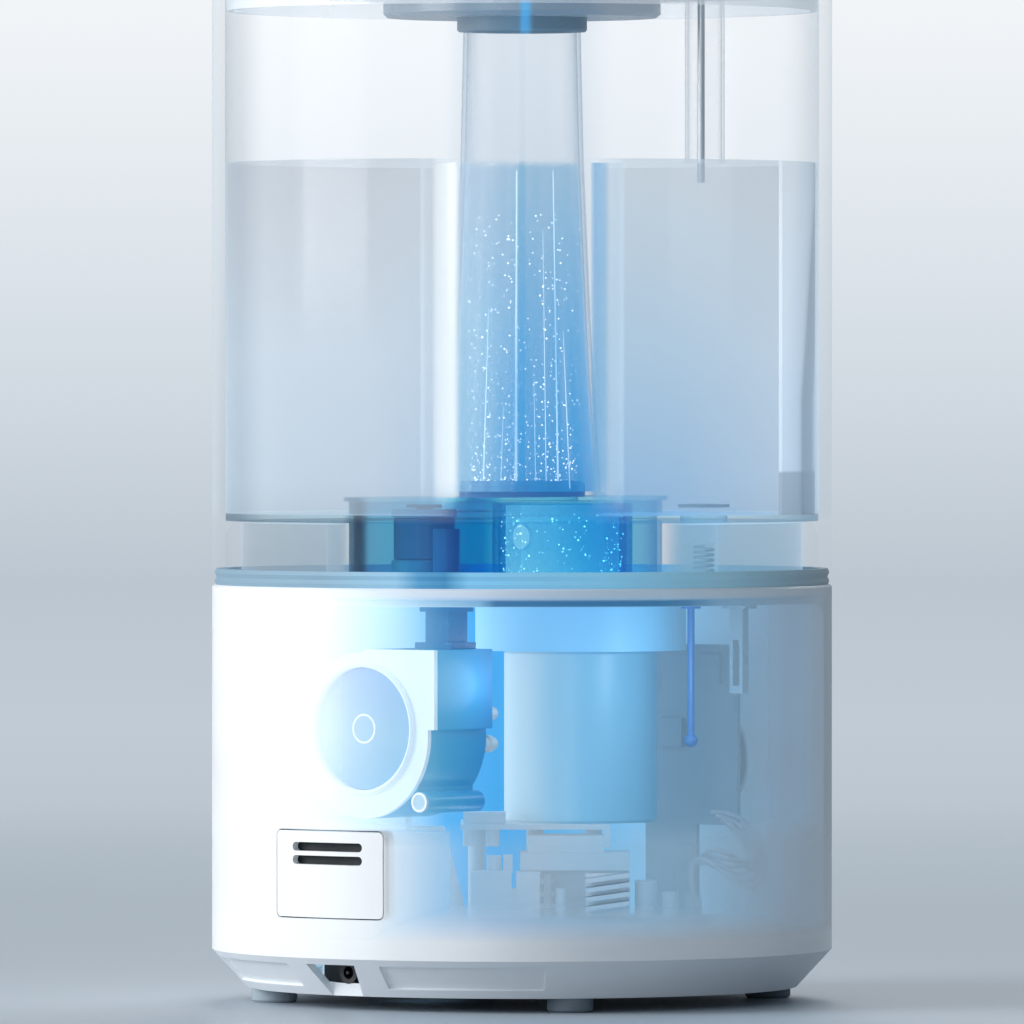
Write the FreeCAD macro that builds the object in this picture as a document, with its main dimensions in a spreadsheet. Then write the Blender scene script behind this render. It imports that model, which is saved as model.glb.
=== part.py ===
"""Cool mist humidifier: a clear top-fill tank on a round base, with its working parts inside.

The origin is at the middle of the plane that the feet stand on, with +Z up. The control knob is
on the front at -Y and the aroma drawer is on the rear at +Y. All sizes are in millimetres.
"""
import FreeCAD, Part
import math
import os
import re
import Sketcher

V = FreeCAD.Vector

# Each row is a size's name, its value, and what it sets.
SIZES = [
    ("body_radius", 95, "outer radius of the base and the tank"),
    ("shell_wall", 2.5, "wall of the base shell"),
    ("gap", 0.4, "working gap between parts that move apart"),
    ("foot_height", 4.4, "height of the rubber feet"),
    ("foot_radius", 7, "radius of one foot"),
    ("foot_circle", 77, "radius of the circle that the feet stand on"),
    ("ring_radius", 84.3, "lower radius of the slanted ring"),
    ("ring_top", 16, "height where the slanted ring meets the shell"),
    ("floor_thick", 3, "thickness of the base floor"),
    ("base_top", 127.5, "height of the top of the base"),
    ("deck_height", 122, "height of the underside of the water deck"),
    ("deck_thick", 2.5, "thickness of the water deck"),
    ("tank_foot", 132.4, "height of the lower edge of the tank wall"),
    ("tank_wall_thick", 4, "wall of the tank"),
    ("tank_floor_top", 149.2, "height of the tank floor"),
    ("tank_floor_thick", 2.2, "thickness of the tank floor"),
    ("tank_rim", 308.2, "height of the top edge of the tank"),
    ("total_height", 315, "height of the top of the lid"),
    ("dome_radius", 27, "half width of the long raised chamber in the tank floor"),
    ("dome_rear", 41.2, "centre of the chamber's rear end"),
    ("dome_front", -26, "centre of the chamber's front end"),
    ("dome_top", 154.4, "height of the top of the chamber"),
    ("dome_wall", 1.5, "wall of the chamber"),
    ("well_radius", 21.6, "outer radius of the mist well"),
    ("well_wall", 1.8, "wall of the mist well"),
    ("well_centre", -19.9, "place of the mist well along the depth"),
    ("well_top", 152.2, "height of the mist well's rim"),
    ("chimney_foot", 24.2, "outer radius of the chimney at its foot"),
    ("chimney_waist", 18.9, "outer radius of the chimney where it turns steeper"),
    ("chimney_waist_height", 256.5, "height of that turn"),
    ("chimney_tip", 17.9, "outer radius of the chimney at its top"),
    ("chimney_tip_height", 300.2, "height of the chimney's top"),
    ("chimney_wall", 1.2, "wall of the chimney"),
    ("mist_hole", 17.2, "radius of the hole that the mist rises through"),
    ("float_radius", 10, "outer radius of the float"),
    ("float_centre", 47.6, "place of the float along the depth"),
    ("float_bottom", 127.2, "height of the float's underside with water in the base"),
    ("post_radius", 2.5, "radius of the float's post"),
    ("fan_centre_height", 84.8, "height of the fan's axis"),
    ("fan_back", 49, "place of the fan's back face along the depth"),
    ("fan_depth", 26.4, "depth of the fan housing under its cover"),
    ("fan_cover_thick", 1.6, "thickness of the fan's cover"),
    ("fan_half_width", 27.6, "half width of the fan housing"),
    ("fan_drum", 25.2, "radius of the fan's round drum"),
    ("duct_x", -15, "sideways place of the air duct"),
    ("duct_y", 55.5, "place of the air duct along the depth"),
    ("fan_up", 24, "height of the fan's outlet above its axis"),
    ("fan_inlet", 18.6, "radius of the fan's inlet"),
    ("fan_wall", 1.6, "wall of the fan housing"),
    ("can_radius", 23.6, "radius of the transducer housing"),
    ("can_centre", -29, "place of the transducer housing along the depth"),
    ("can_bottom", 54, "height of the housing's underside"),
    ("can_seam", 100.5, "height of the seam under the housing's cap"),
    ("can_top", 106.7, "height of the housing's cap"),
    ("piezo_centre", -22.3, "place of the vibrating disc along the depth"),
    ("cone_top", 117.4, "height of the top of the sound cone"),
    ("door_width", 41, "width of the aroma drawer's panel"),
    ("door_bottom", 28.3, "height of the panel's lower edge"),
    ("door_height", 26, "height of the panel"),
    ("door_gap", 0.4, "gap round the panel"),
    ("door_corner", 1.6, "corner radius of the panel"),
    ("drawer_length", 28, "depth of the drawer's tray behind its panel"),
    ("knob_height", 72, "height of the control knob's axis"),
    ("knob_radius", 15, "radius of the control knob"),
    ("board_height", 24, "height of the power board's underside"),
    ("board_turn", 38.6, "turn of the power board from the drawer's side, in degrees"),
    ("sump_radius", 32.5, "outer radius of the cup under the deck"),
    ("sump_floor", 106.9, "height of the underside of that cup"),
    ("intake_x", 19.9, "sideways place of the air intake"),
    ("intake_y", 22.3, "place of the air intake along the depth"),
    ("valve_x", -55, "sideways place of the tank valve"),
    ("valve_y", -20, "place of the tank valve along the depth"),
    ("cup_radius", 42.5, "outer radius of the grey cup under the lid"),
    ("cup_floor", 301, "height of the underside of the cup"),
    ("collar_foot", 296.7, "height of the underside of the chimney collar"),
    ("lid_underside", 309, "height of the underside of the lid's rim"),
    ("tube_x", -43.8, "sideways place of the level tube"),
    ("tube_y", -34.9, "place of the level tube along the depth"),
    ("tube_radius", 6.1, "outer radius of the level tube"),
]

NAMES = [row[0] for row in SIZES]
doc = FreeCAD.newDocument("Humidifier")
dims = doc.addObject("Spreadsheet::Sheet", "Dims")
for line, (name, value, note) in enumerate(SIZES, start=1):
    dims.set("A%d" % line, name)
    dims.set("B%d" % line, str(value))
    dims.set("C%d" % line, note)
    dims.setAlias("B%d" % line, name)
doc.recompute()

PARTS = []


def formula(text):
    """Return the formula with each size's name pointed at the sheet."""
    return re.sub(r"[a-z_]+", lambda m: "Dims." + m.group(0) if m.group(0) in NAMES else m.group(0),
                  str(text))


def size(text):
    """Return the value of a formula in the sheet's names."""
    value = dims.evalExpression(formula(text))
    return float(getattr(value, "Value", value))


def place(thing, at=("0", "0", "0"), turn=(0, 0, 0)):
    """Put an object at formulas for X, Y and Z, turned by yaw, pitch and roll in degrees."""
    thing.Placement = FreeCAD.Placement(V(0, 0, 0), FreeCAD.Rotation(*turn))
    for axis, text in zip("xyz", at):
        thing.setExpression("Placement.Base." + axis, formula(text))
    return thing


def node(thing, label):
    """Name a finished sub-part and note it for export."""
    thing.Label = label
    PARTS.append(thing)
    return thing


def closed_sketch(body, role, corners):
    """Draw a closed outline of corner formulas on one of the body's own planes."""
    sketch = body.newObject("Sketcher::SketchObject", "Outline")
    plane = [f for f in body.Origin.OriginFeatures if f.Role == role][0]
    sketch.AttachmentSupport = [(plane, "")]
    sketch.MapMode = "FlatFace"
    spots = [(size(a), size(b)) for a, b in corners]
    count = len(spots)
    for k in range(count):
        start, end = spots[k], spots[(k + 1) % count]
        sketch.addGeometry(Part.LineSegment(V(start[0], start[1], 0), V(end[0], end[1], 0)), False)
    for k in range(count):
        sketch.addConstraint(Sketcher.Constraint("Coincident", k, 2, (k + 1) % count, 1))
    for k, (a, b) in enumerate(corners):
        for kind, text, value in (("DistanceX", a, spots[k][0]), ("DistanceY", b, spots[k][1])):
            number = sketch.addConstraint(Sketcher.Constraint(kind, -1, 1, k, 1, value))
            sketch.setExpression("Constraints[%d]" % number, formula(text))
    return sketch


def turned(corners, at=("0", "0", "0"), turn=(0, 0, 0), angle=360):
    """Revolve an outline of (radius, height) formulas round the local Z axis."""
    body = doc.addObject("PartDesign::Body", "Turned")
    sketch = closed_sketch(body, "XZ_Plane", corners)
    spin = body.newObject("PartDesign::Revolution", "Spin")
    spin.Profile = sketch
    spin.ReferenceAxis = (sketch, ["V_Axis"])
    spin.Angle = angle
    sketch.Visibility = False
    return place(body, at, turn)


def padded(corners, height, at=("0", "0", "0"), turn=(0, 0, 0)):
    """Pad an outline of (x, y) formulas up the local Z axis."""
    body = doc.addObject("PartDesign::Body", "Padded")
    sketch = closed_sketch(body, "XY_Plane", corners)
    pad = body.newObject("PartDesign::Pad", "Pad")
    pad.Profile = sketch
    pad.setExpression("Length", formula(height))
    sketch.Visibility = False
    return place(body, at, turn)


def box(length, width, height, at, turn=(0, 0, 0)):
    """Make a box from its least corner."""
    thing = doc.addObject("Part::Box", "Box")
    for prop, text in zip(("Length", "Width", "Height"), (length, width, height)):
        thing.setExpression(prop, formula(text))
    return place(thing, at, turn)


def rod(radius, height, at=("0", "0", "0"), turn=(0, 0, 0)):
    """Make a plain cylinder that stands on its own origin."""
    thing = doc.addObject("Part::Cylinder", "Rod")
    thing.setExpression("Radius", formula(radius))
    thing.setExpression("Height", formula(height))
    return place(thing, at, turn)


def pipe(outer, inner, height, at=("0", "0", "0"), turn=(0, 0, 0)):
    """Make a straight tube."""
    return turned([(inner, "0"), (outer, "0"), (outer, height), (inner, height)], at, turn)


def on_board(along, over, height):
    """Turn a place in the power board's own directions into formulas for X, Y and Z."""
    return ("(%s)*cos(board_turn) - (%s)*sin(board_turn)" % (along, over),
            "(%s)*sin(board_turn) + (%s)*cos(board_turn)" % (along, over), height)


def board_box(length, width, height, at, tilt=0):
    """Make a box squared up with the power board, from its least corner."""
    return box(length, width, height, on_board(*at), (size("board_turn"), tilt, 0))


def joined(things):
    """Fuse several objects into one."""
    if len(things) == 1:
        return things[0]
    fuse = doc.addObject("Part::MultiFuse", "Joined")
    fuse.Shapes = things
    return fuse


def cut(base, tools):
    """Take the tools away from the base."""
    result = doc.addObject("Part::Cut", "Cut")
    result.Base = base
    result.Tool = joined(tools)
    return result


def kept(base, tool):
    """Keep only what two objects share."""
    result = doc.addObject("Part::Common", "Kept")
    result.Base = base
    result.Tool = tool
    return result


def softened(base, radius, picks):
    """Round the edges that the test picks."""
    doc.recompute()
    result = doc.addObject("Part::Fillet", "Softened")
    result.Base = base
    edges = [k + 1 for k, edge in enumerate(base.Shape.Edges) if picks(edge)]
    result.Edges = [(k, radius, radius) for k in edges]
    return result


def long_slot(half_width, front, rear, height, at):
    """Make a solid bar with round ends that runs along Y."""
    ends = [rod(half_width, height, (at[0], "%s + (%s)" % (at[1], y), at[2])) for y in (front, rear)]
    middle = box("2*(%s)" % half_width, "(%s) - (%s)" % (rear, front), height,
                 ("%s - (%s)" % (at[0], half_width), "%s + (%s)" % (at[1], front), at[2]))
    return joined(ends + [middle])


def placed_shape(shape, at=("0", "0", "0")):
    """Hold a shape made by Part functions and put it in place."""
    thing = doc.addObject("Part::Feature", "Shape")
    thing.Shape = shape
    return place(thing, at)


def foot_spots():
    """Return the four feet's places on their circle."""
    reach = size("foot_circle")
    turns = [math.radians(a) for a in (49.4, -40.6, 139.4, -130.6)]
    return [(-reach * math.sin(a), reach * math.cos(a)) for a in turns]


def door_block(grow, depth, at_y):
    """Make the round-cornered block that the door and its opening are cut from."""
    width = "door_width + 2*(%s)" % grow
    height = "door_height + 2*(%s)" % grow
    block = box(width, depth, height,
                ("-(%s)/2" % width, at_y, "door_bottom - (%s)" % grow))
    radius = size("door_corner") + size(grow)
    return softened(block, radius, lambda e: abs(e.BoundBox.YLength - size(depth)) < 0.01
                    and e.BoundBox.XLength < 0.01 and e.BoundBox.ZLength < 0.01)


# ---------------------------------------------------------------- base

def base_shell():
    """The round white shell, with a ledge for the deck, a door opening and a knob hole."""
    wall = turned([("body_radius", "0"), ("body_radius", "base_top - ring_top - 0.6"),
                   ("body_radius - 0.6", "base_top - ring_top"),
                   ("body_radius - shell_wall", "base_top - ring_top"),
                   ("body_radius - shell_wall", "deck_height - ring_top"),
                   ("body_radius - shell_wall*2", "deck_height - ring_top"),
                   ("body_radius - shell_wall", "deck_height - ring_top - 3"),
                   ("body_radius - shell_wall", "0")], ("0", "0", "ring_top"))
    door = door_block("door_gap", "20", "body_radius - 15")
    knob = rod("knob_radius + 1", "20", ("0", "10 - body_radius", "knob_height"), (0, 0, 90))
    return node(cut(wall, [door, knob]), "base_shell")


def base_floor():
    """The floor with its slanted ring, cord notch, air slots and two shallow ring pockets."""
    pan = turned([("0", "0"), ("ring_radius", "0"), ("body_radius", "ring_top - foot_height"),
                  ("body_radius - shell_wall - 0.1", "ring_top - foot_height"),
                  ("body_radius - shell_wall - 0.1", "ring_top - foot_height + 3"),
                  ("body_radius - shell_wall*2", "ring_top - foot_height + 3"),
                  ("body_radius - shell_wall*2", "ring_top - foot_height - 1"),
                  ("ring_radius - 1", "floor_thick"), ("0", "floor_thick")],
                 ("0", "0", "foot_height"))
    notch = padded([("-5.2", "-2"), ("5.2", "-2"), ("9.35", "9.7"), ("-9.35", "9.7")], "14",
                   ("0", "98", "foot_height"), (0, 0, 90))
    slant = [("ring_radius + 1.5", "3"), ("ring_radius + 3.2", "1.9"),
             ("ring_radius + 9.7", "9"), ("ring_radius + 8", "10.1")]
    pockets = [turned(slant, ("0", "0", "foot_height"), (start, 0, 0), 32) for start in (101, 47)]
    inlets = [box("16", "2.4", "6", ("intake_x - 8", "intake_y + %.1f" % y, "foot_height - 1"))
              for y in (-9.2, -3.2, 2.8, 8.8)]
    return node(cut(pan, [notch] + pockets + inlets), "base_floor")


def rubber_feet():
    """Four soft round feet under the floor."""
    outline = [("0", "0"), ("foot_radius - 0.8", "0"), ("foot_radius", "0.8"),
               ("foot_radius", "foot_height"), ("0", "foot_height")]
    feet = [turned(outline, ("%.3f" % x, "%.3f" % y, "0")) for x, y in foot_spots()]
    return node(joined(feet), "rubber_feet")


def deck_tray():
    """The water deck that closes the base, with a cup round the sound cone and its lamp."""
    pan = turned([("0", "0"), ("body_radius - shell_wall - 0.1", "0"),
                  ("body_radius - shell_wall - 0.1", "base_top - deck_height"),
                  ("body_radius - shell_wall*2", "base_top - deck_height"),
                  ("body_radius - shell_wall*2", "deck_thick"), ("0", "deck_thick")],
                 ("0", "0", "deck_height"))
    sump = turned([("can_radius + 0.4", "0"), ("sump_radius", "0"),
                   ("sump_radius", "deck_height + 1 - sump_floor"),
                   ("sump_radius - 1.5", "deck_height + 1 - sump_floor"),
                   ("sump_radius - 1.5", "1.5"), ("can_radius + 0.4", "1.5")],
                  ("0", "can_centre", "sump_floor"))
    piezo = rod("12", "10", ("0", "piezo_centre", "deck_height - 4"))
    air = rod("4.2", "10", ("duct_x", "duct_y", "deck_height - 4"))
    return node(joined([cut(pan, [piezo, air]), sump]), "deck_tray")


def drawer_sleeve():
    """The open-ended sleeve that the aroma drawer slides in."""
    outer = box("door_width - 1", "drawer_length + 2", "door_height - 1",
                ("-(door_width - 1)/2", "90 - drawer_length - 2", "door_bottom + 0.5"))
    inner = box("door_width - 4", "drawer_length + 2", "door_height - 4",
                ("-(door_width - 4)/2", "90 - drawer_length", "door_bottom + 2"))
    legs = [box("3", "8", "door_bottom + 0.5 - foot_height - floor_thick",
                (x, "70", "foot_height + floor_thick")) for x in ("-15", "12")]
    return node(cut(joined([outer] + legs), [inner]), "drawer_sleeve")


def dc_jack():
    """The power socket behind the cord notch."""
    block = box("22", "7", "9", ("-11", "78.6 - 3.6", "foot_height + floor_thick"))
    collar = rod("3.4", "2", ("0", "82", "foot_height + floor_thick + 4"), (0, 0, -90))
    hole = rod("1.9", "9", ("0", "77", "foot_height + floor_thick + 4"), (0, 0, -90))
    pin = rod("0.5", "7.4", ("0", "77", "foot_height + floor_thick + 4"), (0, 0, -90))
    return node(joined([cut(joined([block, collar]), [hole]), pin]), "dc_jack")


def floor_screws():
    """Six screws up through the floor, between the feet."""
    head = [("0", "0"), ("3", "0"), ("3", "1.6"), ("1.4", "1.6"), ("1.4", "6.4"), ("0", "6.4")]
    screws = []
    for k in range(6):
        a = math.radians(60 * k + 15)
        screws.append(turned(head, ("%.3f" % (66 * math.cos(a)), "%.3f" % (66 * math.sin(a)),
                                    "foot_height + floor_thick")))
    return node(joined(screws), "floor_screws")


# ---------------------------------------------------------------- fan

FAN_TURN = (0, 0, -90)
FAN_AT = ("0", "fan_back", "fan_centre_height")


def scroll(grow, depth, start):
    """The fan's scroll outline: a round drum and a square outlet that points up."""
    drum = rod("fan_drum + (%s)" % grow, depth, ("0", "2", start))
    outlet = box("fan_half_width + (%s)*2" % grow, "fan_up + (%s)" % grow, depth,
                 ("-fan_half_width - (%s)" % grow, "-fan_up - (%s)" % grow, start))
    return joined([drum, outlet])


def fan_housing():
    """The fan's housing, open at the top and closed by its cover, with a screw ear."""
    ear = pipe("3.2", "1.6", "fan_depth", ("-21.5", "22", "0"))
    web = box("6", "9", "fan_depth", ("-20", "12", "0"))
    inside = scroll("-fan_wall", "fan_depth", "fan_wall")
    mouth = box("fan_half_width - fan_wall*2", "10", "fan_depth - fan_wall*2",
                ("-fan_half_width + fan_wall", "-fan_up - 5", "fan_wall"))
    body = cut(joined([scroll("0", "fan_depth", "0"), web]), [inside, mouth])
    ear_hole = rod("1.6", "60", ("-21.5", "22", "-10"))
    whole = cut(joined([body, ear]), [ear_hole])
    return node(place(whole, FAN_AT, FAN_TURN), "fan_housing")


def fan_cover():
    """The cover plate with a raised ring round the inlet."""
    plate = scroll("0", "fan_cover_thick", "fan_depth")
    ring = turned([("fan_inlet", "fan_depth"), ("fan_inlet + 1.7", "fan_depth"),
                   ("fan_inlet + 1.7", "fan_depth + fan_cover_thick + 0.8"),
                   ("fan_inlet + 0.9", "fan_depth + fan_cover_thick + 1.4"),
                   ("fan_inlet", "fan_depth + fan_cover_thick + 0.8")])
    hole = rod("fan_inlet", "10", ("0", "0", "fan_depth - 4"))
    whole = joined([cut(plate, [hole]), ring])
    return node(place(whole, FAN_AT, FAN_TURN), "fan_cover")


def fan_motor():
    """The small motor on the back plate, with its shaft."""
    outline = [("0", "fan_wall"), ("11", "fan_wall"), ("11", "fan_wall + 6"), ("9.5", "fan_wall + 7"),
               ("1.5", "fan_wall + 7"), ("1.5", "20"), ("0", "20")]
    return node(turned(outline, FAN_AT, FAN_TURN), "fan_motor")


def impeller():
    """The turning wheel: a hub, a back disc and forward-bent blades between two rings."""
    hub = turned([("1.55", "fan_wall + 8"), ("17.4", "fan_wall + 8"), ("17.4", "fan_wall + 9.4"),
                  ("7", "fan_wall + 9.4"), ("4.3", "20.4"), ("3.6", "21.4"), ("1.55", "21.4")])
    top = pipe("17.4", "15.9", "1.2", ("0", "0", "fan_wall + 20"))
    blades = []
    for k in range(24):
        a = 360.0 / 24 * k
        x = 14.2 * math.cos(math.radians(a))
        y = 14.2 * math.sin(math.radians(a))
        blades.append(box("3.4", "0.8", "11", ("%.4f" % x, "%.4f" % y, "fan_wall + 9.2"),
                          (a + 24, 0, 0)))
    whole = joined([hub, top] + blades)
    return node(place(whole, FAN_AT, FAN_TURN), "impeller")


def fan_screws():
    """Two long screws through the back of the housing and one in the ear."""
    back = [joined([rod("1.9", "5.4", (x, z, "-5.4")), rod("2.6", "1.6", (x, z, "-3.4"))])
            for x, z in (("-23.6", "-4.4"), ("-23.6", "4.8"))]
    ear = turned([("0", "0"), ("1.5", "0"), ("1.5", "fan_depth"), ("2.8", "fan_depth"),
                  ("2.8", "fan_depth + 1.5"), ("0", "fan_depth + 1.5")], ("-21.5", "22", "0"))
    return node(place(joined(back + [ear]), FAN_AT, FAN_TURN), "fan_screws")


def fan_bracket():
    """The upright that carries the fan's back plate from the floor."""
    upright = box("18", "3", "fan_centre_height - 20 - foot_height - floor_thick",
                  ("6", "fan_back - 3", "foot_height + floor_thick"))
    gusset = box("2.4", "10", "30", ("13.8", "fan_back - 12", "foot_height + floor_thick"))
    pad = box("26", "12", "2.4", ("2", "fan_back - 12", "foot_height + floor_thick"))
    return node(joined([upright, gusset, pad]), "fan_bracket")


def air_duct():
    """The short duct that takes the fan's air up to the deck."""
    low = "fan_centre_height + fan_up"
    lower = box("14", "12", "2", ("duct_x - 7", "duct_y - 5.5", low))
    upper = box("12", "11", "2", ("duct_x - 6", "duct_y - 5.5", "deck_height - 2"))
    stem = box("9", "9", "deck_height - 1 - (%s)" % low, ("duct_x - 4.5", "duct_y - 4.5", low))
    bore = rod("3.4", "40", ("duct_x", "duct_y", "100"))
    spigot = pipe("4.1", "3.4", "24", ("duct_x", "duct_y", "deck_height - 1"))
    return node(joined([cut(joined([lower, upper, stem]), [bore]), spigot]), "air_duct")


def intake_cone():
    """The tapered air intake that stands on the floor slots."""
    outline = [("11.4", "0"), ("13", "0"), ("12.4", "20"), ("5.8", "45.9"), ("4.4", "45.9"), ("10.8", "20")]
    return node(turned(outline, ("intake_x", "intake_y", "foot_height + floor_thick")), "intake_cone")


# ---------------------------------------------------------------- transducer

def transducer_housing():
    """The tall round housing under the deck."""
    tall = "can_seam - can_bottom"
    can = turned([("0", "0"), ("can_radius - 0.8", "0"), ("can_radius", "0.8"), ("can_radius", tall),
                  ("can_radius - 2", tall), ("can_radius - 2", "2.4"), ("0", "2.4")],
                 ("0", "can_centre", "can_bottom"))
    return node(can, "transducer_housing")


def transducer_cap():
    """The housing's cap, with a lip that drops inside the wall."""
    tall = "can_top - can_seam"
    cap = turned([("0", tall), ("can_radius - 0.7", tall), ("can_radius", "%s - 0.7" % tall),
                  ("can_radius", "0"), ("can_radius - 2.2", "0"), ("can_radius - 2.2", "-3"),
                  ("can_radius - 4", "-3"), ("can_radius - 4", "%s - 2" % tall),
                  ("0", "%s - 2" % tall)], ("0", "can_centre", "can_seam"))
    return node(cap, "transducer_cap")


def sound_cone():
    """The cone that carries the vibrating disc's holder up to the deck."""
    outline = [("0", "0"), ("10", "0"), ("8.3", "cone_top - can_top"), ("11.8", "deck_height - can_top"),
               ("11.8", "deck_height - can_top + 1.2"), ("0", "deck_height - can_top + 1.2")]
    return node(turned(outline, ("0", "piezo_centre", "can_top")), "sound_cone")


def piezo_disc():
    """The thin metal disc that shakes the water into mist."""
    low = "deck_height + 1.2"
    disc = turned([("0", "0"), ("9.8", "0"), ("9.8", "0.7"), ("8.2", "1"), ("0", "1")],
                  ("0", "piezo_centre", low))
    return node(disc, "piezo_disc")


def piezo_seal():
    """The rubber ring round the disc."""
    ring = turned([("9.9", "0"), ("11.8", "0"), ("11.8", "1.3"), ("11.2", "1.9"), ("9.9", "1.4")],
                  ("0", "piezo_centre", "deck_height + 1.2"))
    return node(ring, "piezo_seal")


def lamp_base():
    """The dark round foot of the lamp."""
    foot = turned([("0", "0"), ("5", "0"), ("5", "1.2"), ("4.2", "1.8"), ("0", "1.8")],
                  ("0", "-44.6", "can_top"))
    return node(foot, "lamp_base")


def lamp_post():
    """The clear blue lamp that lights the water from below."""
    post = turned([("0", "0"), ("2.5", "0"), ("2.5", "7.4"), ("1.6", "9"), ("0", "9.4")],
                  ("0", "-44.6", "can_top + 1.8"))
    return node(post, "lamp_post")


# ---------------------------------------------------------------- electrics

def chassis_plate():
    """The plate under the transducer housing, on three posts, with a hook, a block and bosses."""
    floor = "foot_height + floor_thick"
    plate = board_box("44.3", "46", "1.6", ("-25.5", "-40", "can_bottom - 1.6"))
    hook = board_box("1.8", "2", "7", ("-27", "4", "can_bottom - 7"))
    block = board_box("13", "12", "4", ("5", "-8", "can_bottom - 0.4"))
    bosses = [rod("2.1", "5.8", on_board(x, "2", "can_bottom - 6.8")) for x in ("16", "9")]
    posts = [rod("2.6", "can_bottom - 1 - (%s)" % floor, on_board(x, y, floor))
             for x, y in (("14", "-21"), ("-22", "-21"), ("-4", "-37"))]
    return node(joined([plate, hook, block] + bosses + posts), "chassis_plate")


def power_board():
    """The power board on four stand-offs, turned to clear the air intake and the posts."""
    floor = "foot_height + floor_thick"
    board = board_box("73.8", "36", "1.6", ("-58", "-16", "board_height"))
    legs = [rod("2.2", "board_height + 0.5 - (%s)" % floor, on_board(x, y, floor))
            for x, y in (("-53", "-12"), ("-53", "16"), ("11", "-12"), ("11", "16"))]
    return node(joined([board] + legs), "power_board")


def transformer():
    """The wound block that feeds the transducer, in two cases with a round cap on one."""
    low = "board_height + 1.6"
    cases = [board_box("12.3", "10", "14.3", ("3.2", "4", low)),
             board_box("7.3", "10", "14.1", ("-5.5", "4", low)),
             board_box("9", "8", "9", ("-4", "5", low)),
             board_box("2.8", "5", "5.6", ("2.9", "6", "%s + 13.6" % low))]
    cap = rod("2.3", "5", on_board("8.5", "8", "%s + 14" % low))
    return node(joined(cases + [cap]), "transformer")


def heat_sink():
    """Four slanted fins on an upright back, under the driver block."""
    low = "board_height + 1.6"
    back = board_box("13.5", "1.6", "13.4", ("-33", "2.6", low))
    fins = [board_box("13.5", "13", "1.4", ("-33", "3.4", "%s + %.2f" % (low, 4 + 2.85 * k)), 8)
            for k in range(4)]
    return node(joined([back] + fins), "heat_sink")


def driver_module():
    """The stepped driver block that stands over the board."""
    low = "board_height + 1.6"
    upright = board_box("33.6", "5", "14.6", ("-33", "-12", low))
    lower = board_box("33.6", "20", "5.4", ("-33", "-12", "%s + 14.4" % low))
    upper = board_box("23.3", "16", "5.3", ("-25", "-10", "%s + 19.7" % low))
    return node(joined([upright, lower, upper]), "driver_module")


def board_parts():
    """Capacitors, a flanged choke and plugs on the power board."""
    low = "board_height + 1.6"
    cans = [rod(radius, tall, on_board(x, y, low)) for radius, tall, x, y in
            (("3.4", "11", "-38", "8"), ("3.4", "11", "-38", "-3"), ("2.6", "8", "-45.5", "14"),
             ("1.6", "9", "-11.9", "11"), ("1.2", "13", "-8", "1"))]
    flanges = [rod("2.3", "1.4", on_board("-8", "1", "%s + %.1f" % (low, z))) for z in (2.4, 6.2, 10)]
    plugs = [board_box("5", "8", "6", ("-55", y, low)) for y in ("-14", "-2")]
    return node(joined(cans + flanges + plugs), "board_parts")


def wire_harness():
    """Soft wires that loop from the board's plugs to the sensors under the deck."""
    low = size("board_height") + 7.6
    turn = FreeCAD.Rotation(size("board_turn"), 0, 0)
    runs = []
    for k in range(6):
        side = -1 if k % 2 else 1
        over = -12.6 + 2.6 * k + (4.2 if k > 2 else 0)
        points = [turn.multVec(V(*p)) for p in
                  ((-52.5, over, low), (-53, over + side, low + 6 + k),
                   (-62 - 1.2 * k, 8 + 3 * k, low + 14 - 2 * k), (-71 + 0.6 * k, -2 - 3 * k, low + 8 + 3 * k),
                   (-66 + 1.5 * k, -16 - 2 * k, low + 20 + k))]
        curve = Part.BSplineCurve()
        curve.interpolate(points)
        path = Part.Wire([curve.toShape()])
        tangent = curve.tangent(curve.FirstParameter)[0]
        ring = Part.Wire([Part.makeCircle(0.75, points[0], tangent)])
        runs.append(path.makePipeShell([ring], True, True))
    return node(placed_shape(Part.makeCompound(runs)), "wire_harness")


def level_probe():
    """The dark rod that hangs from the deck, with a ball at its end."""
    stem = rod("1.1", "deck_height - 80.2", ("-40.5", "-32.3", "80.2"))
    ball = doc.addObject("Part::Sphere", "Ball")
    ball.Radius = 2.1
    place(ball, ("-40.5", "-32.3", "79.6"))
    flange = rod("3", "2", ("-40.5", "-32.3", "deck_height - 2"))
    return node(joined([stem, ball, flange]), "level_probe")


def reed_switch():
    """The small framed switch that hangs from the deck."""
    outer = box("5", "3", "deck_height - 94", ("-54.5", "-43", "94"))
    window = box("2.6", "9", "14", ("-53.3", "-46", "96.4"))
    tab = box("9", "6", "2", ("-56.5", "-44.5", "deck_height - 2"))
    return node(joined([cut(outer, [window]), tab]), "reed_switch")


def control_board():
    """The upright board behind the knob, on a foot that stands on the floor."""
    board = box("52", "1.6", "56", ("-26", "-76", "knob_height - 20"))
    foot = box("20", "1.6", "knob_height - 20 - foot_height - floor_thick",
               ("-10", "-76", "foot_height + floor_thick"))
    brace = box("20", "9", "2", ("-10", "-76", "foot_height + floor_thick"))
    chips = [box("9", "1.4", "9", (x, "-74.4", z)) for x, z in (("-20", "96"), ("8", "90"), ("-5", "76"))]
    return node(joined([board, foot, brace] + chips), "control_board")


def encoder():
    """The knob's encoder, with its turning shaft's sleeve."""
    can = box("14", "7", "14", ("-7", "-83", "knob_height - 7"))
    sleeve = rod("3.6", "4", ("0", "-83", "knob_height"), (0, 0, 90))
    bore = rod("2.05", "30", ("0", "-79", "knob_height"), (0, 0, 90))
    return node(cut(joined([can, sleeve]), [bore]), "encoder")


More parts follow.
